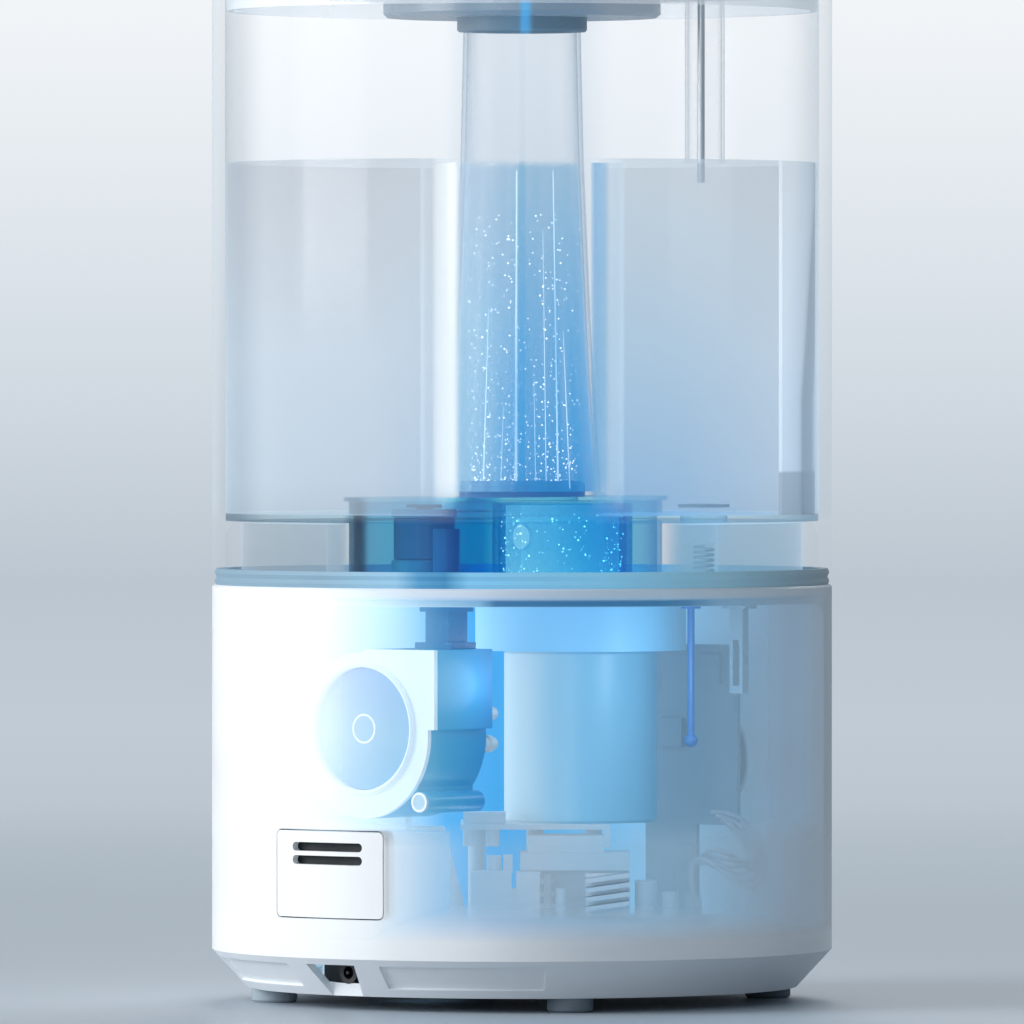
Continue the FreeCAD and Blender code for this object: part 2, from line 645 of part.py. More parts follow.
def control_bezel():
    """The ring set in the shell round the knob."""
    flat = turned([("knob_radius + 0.5", "-2.5"), ("knob_radius + 3", "-2.5"), ("knob_radius + 3", "-5.5"),
                   ("knob_radius + 0.5", "-5.5")], ("0", "-body_radius", "knob_height"), (0, 0, 90))
    sleeve = pipe("knob_radius + 0.95", "knob_radius + 0.5", "6",
                  ("0", "-body_radius + 6", "knob_height"), (0, 0, 90))
    inside = rod("body_radius - shell_wall - 0.1", "60", ("0", "0", "knob_height - 30"))
    return node(joined([kept(flat, inside), sleeve]), "control_bezel")


def control_knob():
    """The turned control knob with a finger dimple and its shaft."""
    knob = turned([("0", "0"), ("2", "0"), ("2", "8"), ("knob_radius", "8"), ("knob_radius", "13.9"),
                   ("knob_radius - 1", "14.9"), ("2.6", "14.9"), ("0", "14.6")],
                  ("0", "-body_radius + 15.4", "knob_height"), (0, 0, 90))
    dimple = doc.addObject("Part::Sphere", "Dimple")
    dimple.Radius = 4
    place(dimple, ("0", "-body_radius - 2.6", "knob_height + 9"))
    return node(cut(knob, [dimple]), "control_knob")


# ---------------------------------------------------------------- water deck

def mist_well():
    """The clear round well where the mist forms, with water slots at its foot."""
    wall = pipe("well_radius", "well_radius - well_wall", "well_top - deck_height - deck_thick",
                ("0", "well_centre", "deck_height + deck_thick"))
    slots = [box("60", "6", "3", ("-30", "well_centre - 3", "deck_height + deck_thick - 1"))]
    air = rod("4", "30", ("0", "well_centre + 14", "142"), (0, 0, -90))
    return node(cut(wall, slots + [air]), "mist_well")


def float_post():
    """The post that the float rides on, with a wide clip at its top."""
    tall = "float_bottom + 25.1 - deck_height - deck_thick"
    post = turned([("0", "0"), ("post_radius", "0"), ("post_radius", "%s - 1" % tall),
                   ("5.4", "%s - 1" % tall), ("5.4", tall), ("0", tall)],
                  ("0", "float_centre", "deck_height + deck_thick"))
    return node(post, "float_post")


def float_layers():
    """The float in three stacked rings: white base, dark band and white cap."""
    bore = "post_radius + gap"
    rings = [("float_base", "0", "8.3", "float_radius"), ("float_band", "8.3", "12.8", "float_radius - 0.7"),
             ("float_cap", "21.1", "2.5", "float_radius")]
    for label, low, tall, radius in rings:
        ring = turned([(bore, "0"), ("%s - 0.5" % radius, "0"), (radius, "0.5"),
                       (radius, "%s - 0.5" % tall), ("%s - 0.5" % radius, tall), (bore, tall)],
                      ("0", "float_centre", "float_bottom + %s" % low))
        node(ring, label)


# ---------------------------------------------------------------- aroma drawer

def drawer_panel():
    """The curved panel with two air slots, and the open tray behind it."""
    skin = pipe("body_radius", "body_radius - shell_wall", "60", ("0", "0", "10"))
    front = kept(skin, door_block("0", "20", "body_radius - 15"))
    tray = box("door_width - 5", "drawer_length + 2", "door_height - 5",
               ("-(door_width - 5)/2", "92.2 - drawer_length", "door_bottom + 2.5"))
    hollow = box("door_width - 8", "drawer_length - 2", "door_height",
                 ("-(door_width - 8)/2", "93.6 - drawer_length", "door_bottom + 4"))
    whole = cut(joined([front, tray]), [hollow])
    slots = []
    for z in ("door_bottom + 15.9", "door_bottom + 19.9"):
        slots.append(box("24.3", "12", "2.7", ("-12.15", "86", z)))
        slots += [rod("1.35", "12", (x, "86", "%s + 1.35" % z), (0, 0, -90))
                  for x in ("-12.15", "12.15")]
    outside = rod("body_radius", "60", ("0", "0", "10"))
    return node(kept(cut(whole, slots), outside), "drawer_panel")


def aroma_pad():
    """The soft pad that lies in the drawer."""
    pad = box("door_width - 9", "drawer_length - 4", "6",
              ("-(door_width - 9)/2", "94 - drawer_length", "door_bottom + 4"))
    return node(pad, "aroma_pad")


# ---------------------------------------------------------------- tank

def tank_wall():
    """The clear straight wall, with a ledge inside that holds the tank floor."""
    inner = "body_radius - tank_wall_thick"
    ledge = "tank_floor_top - tank_floor_thick - tank_foot"
    wall = turned([(inner, "0"), ("body_radius - 0.5", "0"), ("body_radius", "0.5"),
                   ("body_radius", "tank_rim - tank_foot"), (inner, "tank_rim - tank_foot"),
                   (inner, ledge), ("%s - 3" % inner, ledge), (inner, "%s - 4" % ledge)],
                  ("0", "0", "tank_foot"))
    return node(wall, "tank_wall")


def tank_floor():
    """The clear floor, raised into a long chamber over the float and the mist well."""
    low = "deck_height + deck_thick + 3.5"
    disc = rod("body_radius - tank_wall_thick - 0.2", "tank_floor_thick",
               ("0", "0", "tank_floor_top - tank_floor_thick"))
    dome = long_slot("dome_radius", "dome_front", "dome_rear", "dome_top - (%s)" % low, ("0", "0", low))
    rim = long_slot("dome_radius + 1.6", "dome_front", "dome_rear", "1.2",
                    ("0", "0", "dome_top - 1.2"))
    inside = long_slot("dome_radius - dome_wall", "dome_front", "dome_rear",
                       "dome_top - dome_wall - (%s) + 5" % low, ("0", "0", "%s - 5" % low))
    mist = rod("mist_hole", "20", ("0", "0", "dome_top - 10"))
    valve = rod("7.2", "20", ("valve_x", "valve_y", "tank_floor_top - 10"))
    return node(cut(joined([disc, dome, rim]), [inside, mist, valve]), "tank_floor")


def chimney():
    """The clear tube that flares towards its foot and carries the mist up."""
    outer = [("chimney_foot + 1.4", "0"), ("chimney_foot + 1.4", "1.2"), ("chimney_foot", "1.2"),
             ("(chimney_foot + chimney_waist)/2 - 0.3", "(chimney_waist_height - dome_top)*0.48"),
             ("chimney_waist", "chimney_waist_height - dome_top"),
             ("chimney_tip", "chimney_tip_height - dome_top")]
    inner = [("chimney_tip - chimney_wall", "chimney_tip_height - dome_top"),
             ("chimney_waist - chimney_wall", "chimney_waist_height - dome_top"),
             ("(chimney_foot + chimney_waist)/2 - 0.3 - chimney_wall",
              "(chimney_waist_height - dome_top)*0.48"),
             ("chimney_foot - chimney_wall", "1.2"), ("chimney_foot - chimney_wall", "0")]
    return node(turned(outer + inner, ("0", "0", "dome_top")), "chimney")


def chimney_seal():
    """The blue rubber ring round the mist hole."""
    ring = turned([("mist_hole", "0"), ("mist_hole + 2.1", "0"), ("mist_hole + 2.1", "3.4"),
                   ("mist_hole + 1.3", "4.8"), ("mist_hole + 0.4", "4.8"), ("mist_hole", "4")],
                  ("0", "0", "dome_top"))
    return node(ring, "chimney_seal")


def tank_gasket():
    """The grey ring between the tank and the base."""
    ring = turned([("body_radius - 4", "0"), ("body_radius - 1.2", "0"), ("body_radius - 0.8", "1.2"),
                   ("body_radius - 1.4", "2.4"), ("body_radius - 0.8", "3.7"),
                   ("body_radius - 1.2", "tank_foot - base_top"),
                   ("body_radius - 4", "tank_foot - base_top")], ("0", "0", "base_top"))
    return node(ring, "tank_gasket")


VALVE_AT = ("valve_x", "valve_y", "tank_floor_top")


def valve_seat():
    """The valve's seat in the tank floor, with a spoked guide for the stem."""
    cup = turned([("5.2", "-9"), ("7", "-9"), ("7", "0"), ("10", "0"), ("10", "2"), ("5.2", "2")])
    hub = pipe("3.6", "2.05", "3", ("0", "0", "-9"))
    spokes = [box("3", "1.6", "3", ("2.9", "-0.8", "-9")), box("3", "1.6", "3", ("-5.9", "-0.8", "-9")),
              box("1.6", "3", "3", ("-0.8", "2.9", "-9")), box("1.6", "3", "3", ("-0.8", "-5.9", "-9"))]
    return node(place(joined([cup, hub] + spokes), VALVE_AT), "valve_seat")


def valve_stem():
    """The stem with its head above the seat and a clip at its foot."""
    stem = turned([("0", "-20"), ("3.6", "-20"), ("3.6", "-18.8"), ("2", "-18.8"), ("2", "3"),
                   ("8", "3"), ("8", "4.4"), ("7", "5.2"), ("0", "5.2")], VALVE_AT)
    return node(stem, "valve_stem")


def valve_washer():
    """The rubber washer under the valve's head."""
    return node(pipe("7.8", "2", "1", ("valve_x", "valve_y", "tank_floor_top + 2")), "valve_washer")


def valve_spring():
    """The coil spring that pulls the valve shut."""
    wire, pitch, tall = 0.35, 1.6, 8.6
    helix = doc.addObject("Part::Helix", "Coil")
    helix.Pitch = pitch
    helix.Height = tall
    helix.Radius = 2.95
    ring = doc.addObject("Part::Circle", "Wire")
    ring.Radius = wire
    ring.Placement = FreeCAD.Placement(V(2.95, 0, 0), FreeCAD.Rotation(V(1, 0, 0), 90))
    sweep = doc.addObject("Part::Sweep", "Spring")
    sweep.Sections = [ring]
    sweep.Spine = (helix, [])
    sweep.Solid = True
    sweep.Frenet = True
    place(sweep, ("valve_x", "valve_y", "tank_floor_top - 18.2"))
    return node(sweep, "valve_spring")


def valve_pin():
    """The pin on the deck that opens the valve of a seated tank."""
    pin = turned([("0", "0"), ("5", "0"), ("3", "1.2"), ("3", "3.6"), ("2.4", "4.2"), ("0", "4.2")],
                 ("valve_x", "valve_y", "deck_height + deck_thick"))
    return node(pin, "valve_pin")


def side_panel():
    """The pale curved panel that stands inside the tank wall."""
    tall = "chimney_waist_height - tank_floor_top"
    sheet = turned([("88.6", "0"), ("89.8", "0"), ("89.8", tall), ("88.6", tall)],
                   ("0", "0", "tank_floor_top"), (190, 0, 0), 31)
    clip = turned([("86.2", "0"), ("90.6", "0"), ("90.6", "13"), ("86.2", "13")],
                  ("0", "0", "tank_floor_top"), (200, 0, 0), 9)
    return node(joined([sheet, clip]), "side_panel")


# ---------------------------------------------------------------- lid

def lid_ring():
    """The lid's wide ring, with a skirt that drops inside the tank wall."""
    skirt = "body_radius - tank_wall_thick - gap - 0.1"
    ring = turned([("cup_radius - 1", "total_height - 4"), ("cup_radius - 1", "total_height - 0.6"),
                   ("cup_radius - 0.4", "total_height"), ("body_radius - 2", "total_height"),
                   ("body_radius", "total_height - 2"), ("body_radius", "lid_underside"),
                   (skirt, "lid_underside"), (skirt, "lid_underside - 6"),
                   ("%s - 2.2" % skirt, "lid_underside - 6"), ("%s - 2.2" % skirt, "total_height - 2.6"),
                   ("cup_radius + 3", "total_height - 2.6"), ("cup_radius + 3", "total_height - 4")])
    return node(ring, "lid_ring")


def lid_gasket():
    """The flat ring between the lid and the tank's rim."""
    ring = pipe("body_radius - 0.7", "body_radius - tank_wall_thick + 0.3", "lid_underside - tank_rim",
                ("0", "0", "tank_rim"))
    return node(ring, "lid_gasket")


def mist_cup():
    """The grey cup under the lid, with a hole over the chimney."""
    tall = "total_height - 4 - cup_floor"
    cup = turned([("mist_hole", "0"), ("cup_radius - 1.2", "0"), ("cup_radius", "1.2"),
                  ("cup_radius", tall), ("cup_radius - 2", tall), ("cup_radius - 2", "2.4"),
                  ("mist_hole", "2.4")], ("0", "0", "cup_floor"))
    return node(cup, "mist_cup")


def collar_seal():
    """The grey collar that drops over the chimney's top."""
    tall = "cup_floor - collar_foot"
    ring = turned([("chimney_tip + gap", "0"), ("chimney_tip + 1.5", "0"), ("chimney_tip + 2", "0.6"),
                   ("chimney_tip + 2", tall), ("chimney_tip + gap", tall)], ("0", "0", "collar_foot"))
    return node(ring, "collar_seal")


def nozzle():
    """The outlet that turns in the cup, with two curved mist slots."""
    low = "cup_floor + 2.4"
    tall = "total_height - cup_floor - 2.4"
    drum = turned([("mist_hole - gap - 1.6", "-2.2"), ("mist_hole - gap", "-2.2"), ("mist_hole - gap", "0"),
                   ("cup_radius - 2 - gap", "0"), ("cup_radius - 2 - gap", "1.6"),
                   ("34", "%s - 2" % tall), ("32.4", tall), ("0", tall), ("0", "%s - 1.8" % tall),
                   ("31", "%s - 2.4" % tall), ("33.4", "1.6"), ("mist_hole - gap - 1.6", "1.6")],
                  ("0", "0", low))
    slots = [turned([("14", "-6"), ("22", "-6"), ("22", "6"), ("14", "6")],
                    ("0", "0", "total_height - 1"), (start, 0, 0), 110) for start in (35, 215)]
    return node(cut(drum, slots), "nozzle")


def level_tube():
    """The clear tube that hangs from the lid to the full line."""
    tube = pipe("tube_radius", "tube_radius - 0.8", "total_height - 2.6 - chimney_waist_height",
                ("tube_x", "tube_y", "chimney_waist_height"))
    return node(tube, "level_tube")


def level_rod():
    """The slim dark rod inside the level tube."""
    tall = "total_height - 2.6 - chimney_waist_height + 6"
    stem = rod("1.1", tall, ("tube_x + 1.4", "tube_y", "chimney_waist_height - 6"))
    collar = rod("2.8", "3", ("tube_x + 1.4", "tube_y", "total_height - 8"))
    return node(joined([stem, collar]), "level_rod")


STEPS = [base_shell, base_floor, rubber_feet, deck_tray, drawer_sleeve, dc_jack, floor_screws,
         fan_housing, fan_cover, fan_motor, impeller, fan_screws, fan_bracket, air_duct, intake_cone,
         transducer_housing, transducer_cap, sound_cone, piezo_disc, piezo_seal, lamp_base, lamp_post,
         chassis_plate, power_board, transformer, heat_sink, driver_module, board_parts, wire_harness,
         level_probe, reed_switch, control_board, encoder, control_bezel, control_knob, mist_well,
         float_post, float_layers, drawer_panel, aroma_pad, tank_wall, tank_floor, chimney,
         chimney_seal, tank_gasket, valve_seat, valve_stem, valve_washer, valve_spring, valve_pin,
         side_panel, lid_ring, lid_gasket, mist_cup, collar_seal, nozzle, level_tube, level_rod]

for step in STEPS:
    step()
doc.recompute()

for thing in doc.Objects:
    if "Invalid" in thing.State or "Error" in thing.State:
        raise RuntimeError("%s did not build: %s" % (thing.Name, thing.State))

os.makedirs("parts", exist_ok=True)
for thing in PARTS:
    if thing.Shape.isNull() or not thing.Shape.isValid():
        raise RuntimeError("%s has a bad shape" % thing.Label)
    thing.Shape.exportStep("parts/%s.step" % thing.Label)
print(len(PARTS), "parts written")
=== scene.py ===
# %% [markdown]
# # A see-through cool mist humidifier
# The machine is a clear round tank on a white base. Its solids come from the imported frame, and
# this lesson gives them their finishes, adds the water, the mist and the light, and adds finer
# pieces beside them. Everything is in metres in the frame's own axes: +Z is up, the knob faces -Y
# and the aroma drawer faces +Y.

# %% Load the frame
import bpy
import math
import random
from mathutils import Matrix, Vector


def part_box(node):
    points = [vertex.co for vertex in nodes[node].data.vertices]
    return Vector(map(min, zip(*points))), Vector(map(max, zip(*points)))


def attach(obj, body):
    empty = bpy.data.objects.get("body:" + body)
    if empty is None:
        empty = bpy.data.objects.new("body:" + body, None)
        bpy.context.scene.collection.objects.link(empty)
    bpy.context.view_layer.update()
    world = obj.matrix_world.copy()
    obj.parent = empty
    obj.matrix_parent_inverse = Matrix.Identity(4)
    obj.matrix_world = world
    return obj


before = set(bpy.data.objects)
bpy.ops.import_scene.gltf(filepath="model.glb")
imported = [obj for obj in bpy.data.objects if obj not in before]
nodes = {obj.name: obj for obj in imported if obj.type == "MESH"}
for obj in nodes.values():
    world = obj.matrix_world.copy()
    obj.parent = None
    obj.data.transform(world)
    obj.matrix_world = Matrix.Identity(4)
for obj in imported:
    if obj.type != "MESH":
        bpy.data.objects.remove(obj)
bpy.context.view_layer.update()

MM = 0.001

# %% [markdown]
# The picture looks at the rear left of the machine through a long lens from just above the water
# deck. AROUND is the camera's place round the machine; ACROSS and TOWARDS are the machine's own
# directions that run to the right of the view and out of it. Finishes that change round the body
# use these two fixed directions.

# %% Camera
AROUND = math.radians(218.6)
TOWARDS = Vector((math.sin(AROUND), -math.cos(AROUND), 0))
ACROSS = Vector((math.cos(AROUND), math.sin(AROUND), 0))
DISTANCE = 3.86
WIDTH_SEEN = 0.3139
lens = bpy.data.cameras.new("long_lens")
lens.sensor_width = 36
lens.lens = 36 * DISTANCE / WIDTH_SEEN
lens.clip_start = 0.1
lens.clip_end = 60
camera = bpy.data.objects.new("camera", lens)
bpy.context.scene.collection.objects.link(camera)
aim = ACROSS * -0.00307 + Vector((0, 0, 0.1496))
camera.location = aim + TOWARDS * DISTANCE + Vector((0, 0, 0.0394))
camera.rotation_euler = (aim - camera.location).to_track_quat("-Z", "Y").to_euler()
bpy.context.scene.camera = camera
bpy.context.scene.view_settings.view_transform = "Standard"
bpy.context.scene.cycles.transparent_max_bounces = 48   # a line of sight crosses up to 40 clear faces
print("camera at", [round(v, 3) for v in camera.location], "lens", round(lens.lens), "mm")

# %% [markdown]
# Colours are written as the hex codes that a screen shows. Shaders work on linear light, so one
# function turns a code into linear values. One more adds a node with its settings and its links.

# %% Colour and node helpers
def colour(code, share=(1, 1, 1)):
    """Turn a screen hex code into linear red, green and blue, keep a share of each, and add alpha."""
    parts = [int(code[k:k + 2], 16) / 255 for k in (1, 3, 5)]
    linear = [((c + 0.055) / 1.055) ** 2.4 if c > 0.04045 else c / 12.92 for c in parts]
    return tuple(value * kept for value, kept in zip(linear, share)) + (1.0,)


def add(tree, kind, links=(), inputs=None, **settings):
    """Add a node, set its properties and input values, and link (input, node, output) into it."""
    made = tree.nodes.new("ShaderNode" + kind)
    for name, value in settings.items():
        setattr(made, name, value)
    for name, value in (inputs or {}).items():
        made.inputs[name].default_value = value
    for into, source, output in links:
        tree.links.new(source.outputs[output], made.inputs[into])
    return made


def ramp(tree, source, output, stops):
    """Add a colour ramp with (place, colour) stops fed by a node."""
    made = add(tree, "ValToRGB", [(0, source, output)])
    bar = made.color_ramp
    for element, (place, shade) in zip(bar.elements, (stops[0], stops[-1])):
        element.position, element.color = place, shade
    for place, shade in stops[1:-1]:
        bar.elements.new(place).color = shade
    return made


def fresh(name):
    """Start a material with only its output node."""
    made = bpy.data.materials.new(name)
    made.use_nodes = True
    made.node_tree.nodes.clear()
    return made, made.node_tree


def grey(value):
    """Return one grey level as a colour."""
    return (value, value, value, 1.0)


# %% [markdown]
# The studio is a pale floor that fades into a pale backdrop. The backdrop is the world itself,
# lighter towards the top. Rays that light the machine see a dimmer world than the camera does,
# so that the soft boxes shape the white shell.

# %% World, floor and lights
world = bpy.data.worlds.new("studio")
bpy.context.scene.world = world
world.use_nodes = True
tree = world.node_tree
tree.nodes.clear()
where = add(tree, "TexCoord")
split = add(tree, "SeparateXYZ", [("Vector", where, "Generated")])
height = add(tree, "MapRange", [("Value", split, "Z")], {"From Min": -0.052, "From Max": 0.034})
sky = ramp(tree, height, "Result", [(0.0, colour("#AEB9C3")), (0.17, colour("#B8C3CD")),
                                    (0.29, colour("#C1CBD5")), (0.42, colour("#BCC6D0")),
                                    (0.6, colour("#D1DAE2")), (0.92, colour("#EFF3F7")),
                                    (1.0, colour("#F4F7FA"))])
seen = add(tree, "Background", [("Color", sky, "Color")], {"Strength": 1.0})
dim = add(tree, "Background", inputs={"Color": colour("#D9E4EE"), "Strength": 0.36})
path = add(tree, "LightPath")
both = add(tree, "MixShader", [(0, path, "Is Camera Ray"), (1, dim, "Background"), (2, seen, "Background")])
add(tree, "OutputWorld", [("Surface", both, "Shader")])

bpy.ops.object.select_all(action="DESELECT")
bpy.ops.mesh.primitive_circle_add(vertices=96, radius=7.0, fill_type="NGON")
floor = bpy.context.object
floor.name = "studio_floor"
paint, tree = fresh("pale_studio_floor")
where = add(tree, "TexCoord")
reach = add(tree, "VectorMath", [(0, where, "Object")], operation="LENGTH")
fade = add(tree, "MapRange", [("Value", reach, "Value")],
           {"From Min": 0.3, "From Max": 1.9, "To Min": 1.0, "To Max": 0.0},
           interpolation_type="SMOOTHSTEP")
speck = add(tree, "TexNoise", [("Vector", where, "Object")], {"Scale": 900.0, "Detail": 4.0})
soft = add(tree, "MapRange", [("Value", speck, "Fac")], {"To Min": 0.34, "To Max": 0.44})
matt = add(tree, "BsdfPrincipled", [("Roughness", soft, "Result")],
           {"Base Color": colour("#B9C4CE"), "IOR": 1.45})
clear = add(tree, "BsdfTransparent")
mixed = add(tree, "MixShader", [(0, fade, "Result"), (1, clear, "BSDF"), (2, matt, "BSDF")])
add(tree, "OutputMaterial", [("Surface", mixed, "Shader")])
floor.data.materials.append(paint)


def soft_box(name, across, towards, up, size, power, tint="#FFFFFF"):
    """Hang a square soft light at a place given in the view's directions, aimed at the machine."""
    light = bpy.data.lights.new(name, "AREA")
    light.size = size
    light.energy = power
    light.color = colour(tint)[:3]
    hung = bpy.data.objects.new(name, light)
    bpy.context.scene.collection.objects.link(hung)
    hung.location = ACROSS * across + TOWARDS * towards + Vector((0, 0, up))
    hung.rotation_euler = (Vector((0, 0, 0.15)) - hung.location).to_track_quat("-Z", "Y").to_euler()
    return hung


soft_box("key_left", -1.75, 0.42, 0.75, 1.1, 30)
soft_box("top_back", 0.3, -1.3, 1.3, 1.2, 13)
soft_box("fill_front", -0.2, 2.2, 0.6, 1.0, 2.5, "#EAF4FF")
soft_box("low_front", -0.6, 1.6, 0.12, 0.6, 3.6)


def inner_light(name, across, towards, up, radius, power, tint):
    """Hang a small round light inside the base, at a place in mm that no view shows."""
    light = bpy.data.lights.new(name, "POINT")
    light.shadow_soft_size = radius * MM
    light.energy = power
    light.color = colour(tint)[:3]
    hung = bpy.data.objects.new(name, light)
    bpy.context.scene.collection.objects.link(hung)
    hung.location = (ACROSS * across + TOWARDS * towards + Vector((0, 0, up))) * MM
    hung.visible_camera = False
    return hung


inner_light("base_glow_near", -8, 66, 98, 9, 0.006, "#E6F6FF")
inner_light("base_glow_right", 52, 34, 100, 9, 0.028, "#D6EEFF")
inner_light("base_glow_low", 4, 48, 42, 6, 0.006, "#E6F6FF")
print("studio ready")

# %% [markdown]
# Most of the machine is injection-moulded plastic. Such a surface has a very fine spark-eroded
# grain, so its roughness and its height both change a little from spot to spot. One function
# makes that finish in a given colour. The machine is lit blue from inside, and that light is
# painted in: a finish can run from one colour on the drawer's side to another on the lamp's side,
# as painted light and shade, and can glow as emission, as painted lamp light.

# %% Moulded plastic
REACH = 95   # mm from the axis to the outside of the base


def across(x):
    """Turn millimetres along ACROSS into a ramp place from 0 to 1."""
    return (x + REACH) / (2 * REACH)


def across_place(tree, where):
    """Return a node whose Result runs from 0 to 1 along ACROSS, over the whole machine."""
    dot = add(tree, "VectorMath", [(0, where, "Object")], {1: tuple(ACROSS)}, operation="DOT_PRODUCT")
    return add(tree, "MapRange", [("Value", dot, "Value")],
               {"From Min": -REACH * MM, "From Max": REACH * MM})


def across_ramp(tree, where, shades, share=(1, 1, 1)):
    """Add a colour ramp with (mm across, code) stops."""
    stops = [(across(x), colour(code, share)) for x, code in shades]
    return ramp(tree, across_place(tree, where), "Result", stops)


def amount_ramp(tree, where, stops):
    """Add a ramp of plain amounts with (mm across, amount) stops."""
    return ramp(tree, across_place(tree, where), "Result", [(across(x), grey(value)) for x, value in stops])


def moulded(name, shades, roughness=0.4, grain=0.35, depth=0.08, glow=0.0, share=(1, 1, 1)):
    """Make moulded plastic with its grain in mm. Shades are (mm across, code) stops of painted light
    and shade, or one code, and glow is painted light given off as emission.
    """
    made, tree = fresh(name)
    where = add(tree, "TexCoord")
    fine = add(tree, "TexNoise", [("Vector", where, "Object")], {"Scale": 1 / (grain * MM), "Detail": 3.0})
    broad = add(tree, "TexNoise", [("Vector", where, "Object")], {"Scale": 45.0, "Detail": 4.0})
    rough = add(tree, "MapRange", [("Value", broad, "Fac")],
                {"From Min": 0.3, "From Max": 0.7, "To Min": roughness - 0.05, "To Max": roughness + 0.06})
    bump = add(tree, "Bump", [("Height", fine, "Fac")], {"Strength": depth, "Distance": 0.0002})
    if isinstance(shades, str):
        shades = [(-REACH, shades), (REACH, shades)]
    shade = across_ramp(tree, where, shades, share)
    cloud = add(tree, "MapRange", [("Value", broad, "Fac")], {"To Min": 0.96, "To Max": 1.03})
    tone = add(tree, "VectorMath", [(0, shade, "Color"), (1, cloud, "Result")], operation="MULTIPLY")
    skin = add(tree, "BsdfPrincipled", [("Base Color", tone, "Vector"), ("Roughness", rough, "Result"),
                                        ("Normal", bump, "Normal")], {"IOR": 1.5})
    if glow:
        tree.links.new(tone.outputs["Vector"], skin.inputs["Emission Color"])
        skin.inputs["Emission Strength"].default_value = glow
    add(tree, "OutputMaterial", [("Surface", skin, "BSDF")])
    return made, tree, skin


# %% [markdown]
# The works inside the base are white and pale ABS, and the lamp's blue light on them is painted
# in. Glow is that painted lamp light given off as emission, and share says how much red, green and
# blue of the plain colour is kept where the painted lamp light is near or the painted shade falls.
# Softer finishes, such as the float's foam and the felt pad, have a coarser grain and no gloss.

# %% Finishes of the works
# White ABS, fine grain: a pale satin. In these four finishes the run from the drawer's white to
# the lamp's blue is painted lamp light, the greys beyond it are painted shade, and glow is
# painted lamp light.
inner_white = moulded("inner_white_abs", [(-95, "#F4F8FA"), (-40, "#D9F0FA"), (-22, "#9CD2EE"),
                                          (10, "#86C2E4"), (40, "#7DB6D4"), (60, "#84A8BC"),
                                          (95, "#8A9AA6")],
                      0.45, glow=0.3, share=(0.9, 0.9, 0.9))[0]
low_white = moulded("lower_works_abs", [(-30, "#AAC6D4"), (-12, "#A8BCC8"), (5, "#B4BCC2"), (30, "#A3BFCE"),
                                        (60, "#8AA4B4")], 0.45, glow=0.3)[0]
can_white = moulded("transducer_can_abs", [(-6, "#DCF0F8"), (3, "#CFEAF4"), (10, "#AFDCF0"),
                                           (18, "#92D0EC"), (36, "#86C6E6"), (44, "#7CB8DA")],
                    0.38, glow=0.34, share=(0.72, 0.72, 0.72))[0]
cover_white = moulded("fan_cover_abs", [(-75, "#FFFFFF"), (-30, "#E6F3FA")], 0.35, glow=0.21)[0]
# Glossier ABS beside the lamp: almost no red is left, so it reads as deep cyan. That cyan is
# painted lamp light, darker towards the lamp's side as painted shade, and its glow is painted
# lamp light too.
fan_painted_lamp_blue = moulded("fan_housing_abs", [(-27, "#7ED2F0"), (-20, "#45BEEA"), (-10, "#1FA6E2"),
                                       (0, "#1A98D8")],
                   0.35, glow=0.4, share=(0.18, 0.52, 0.612))[0]
# Fan wheel: white ABS painted blue with the lamp's light, darker along ACROSS as painted shade, with a
# painted glow.
wheel_painted_lamp_blue = moulded("fan_wheel_abs", [(-66, "#D2EEFA"), (-48, "#A4D6F2"), (-34, "#92C2EC")],
                     0.3, glow=0.3, share=(0.7, 0.7, 0.7))[0]
# Air duct: its deep blue is painted lamp light, darker along ACROSS as painted shade, with a painted glow.
duct_painted_lamp_blue = moulded("duct_abs_painted_lamp_blue", [(-30, "#2C93CC"), (-18, "#0E78B8")],
                    0.3, glow=0.32, share=(0.3, 0.8, 0.75))[0]
# Foam round the float: matt, with cells half a millimetre across. Its blue darkens along ACROSS,
# and its faint glow is painted lamp light.
float_band_blue = moulded("float_band_foam", [(-40, "#2486AE"), (-24, "#0081B1")], 0.7, 0.5, 0.2, 0.1)[0]
# Float shell: white PP whose deep blue is painted lamp light, deepening along ACROSS, with a painted glow.
float_white = moulded("float_shell_pp", [(-40, "#C9E4F2"), (-31, "#8CC8EA"), (-22, "#3C9CD2")],
                      0.4, glow=0.25, share=(0.112, 0.434, 0.544))[0]
# Nylon: smooth and a little waxy. The post's dark blue is painted shade, where it stands in front
# of the lamp, and its faint glow is painted lamp light.
post_painted_backlit_shade = moulded("post_nylon", "#0D4B78", 0.35, glow=0.13)[0]
black_abs = moulded("black_nylon", "#15181C", 0.5)[0]
# The lamp's foot and the probe's sleeve glow faintly with painted lamp light.
lamp_foot = moulded("lamp_foot_nylon", "#2C6F9C", 0.5, glow=0.13)[0]
probe_blue = moulded("probe_sleeve_nylon", "#3F78B0", 0.4, glow=0.23)[0]
# Solder mask and wire jackets: a thin even gloss over a pale blue-grey, darker along ACROSS as
# painted shade, with a glow of painted lamp light.
board_green = moulded("solder_mask", [(-95, "#8CB9CE"), (95, "#7E97A6")], 0.3, glow=0.21)[0]
jacket_white = moulded("wire_pvc", [(20, "#9DB9CB"), (80, "#8C9DAA")], 0.5, glow=0.25)[0]

# %% [markdown]
# The outside has its own plastics: glossy white ABS on the drawer and the knob, smoked grey ABS on
# the cup and the outlet, and soft silicone and rubber on the seals and the feet. The lamp sends
# one thin ray up the middle of the chimney, which is painted as a narrow blue line of light on the
# cup and on the cup's collar.

# %% Finishes of the outside and the seals
PAINTED_RAY = [(0.1, "#6BC4F8"), (1.7, "#6BC4F8")]
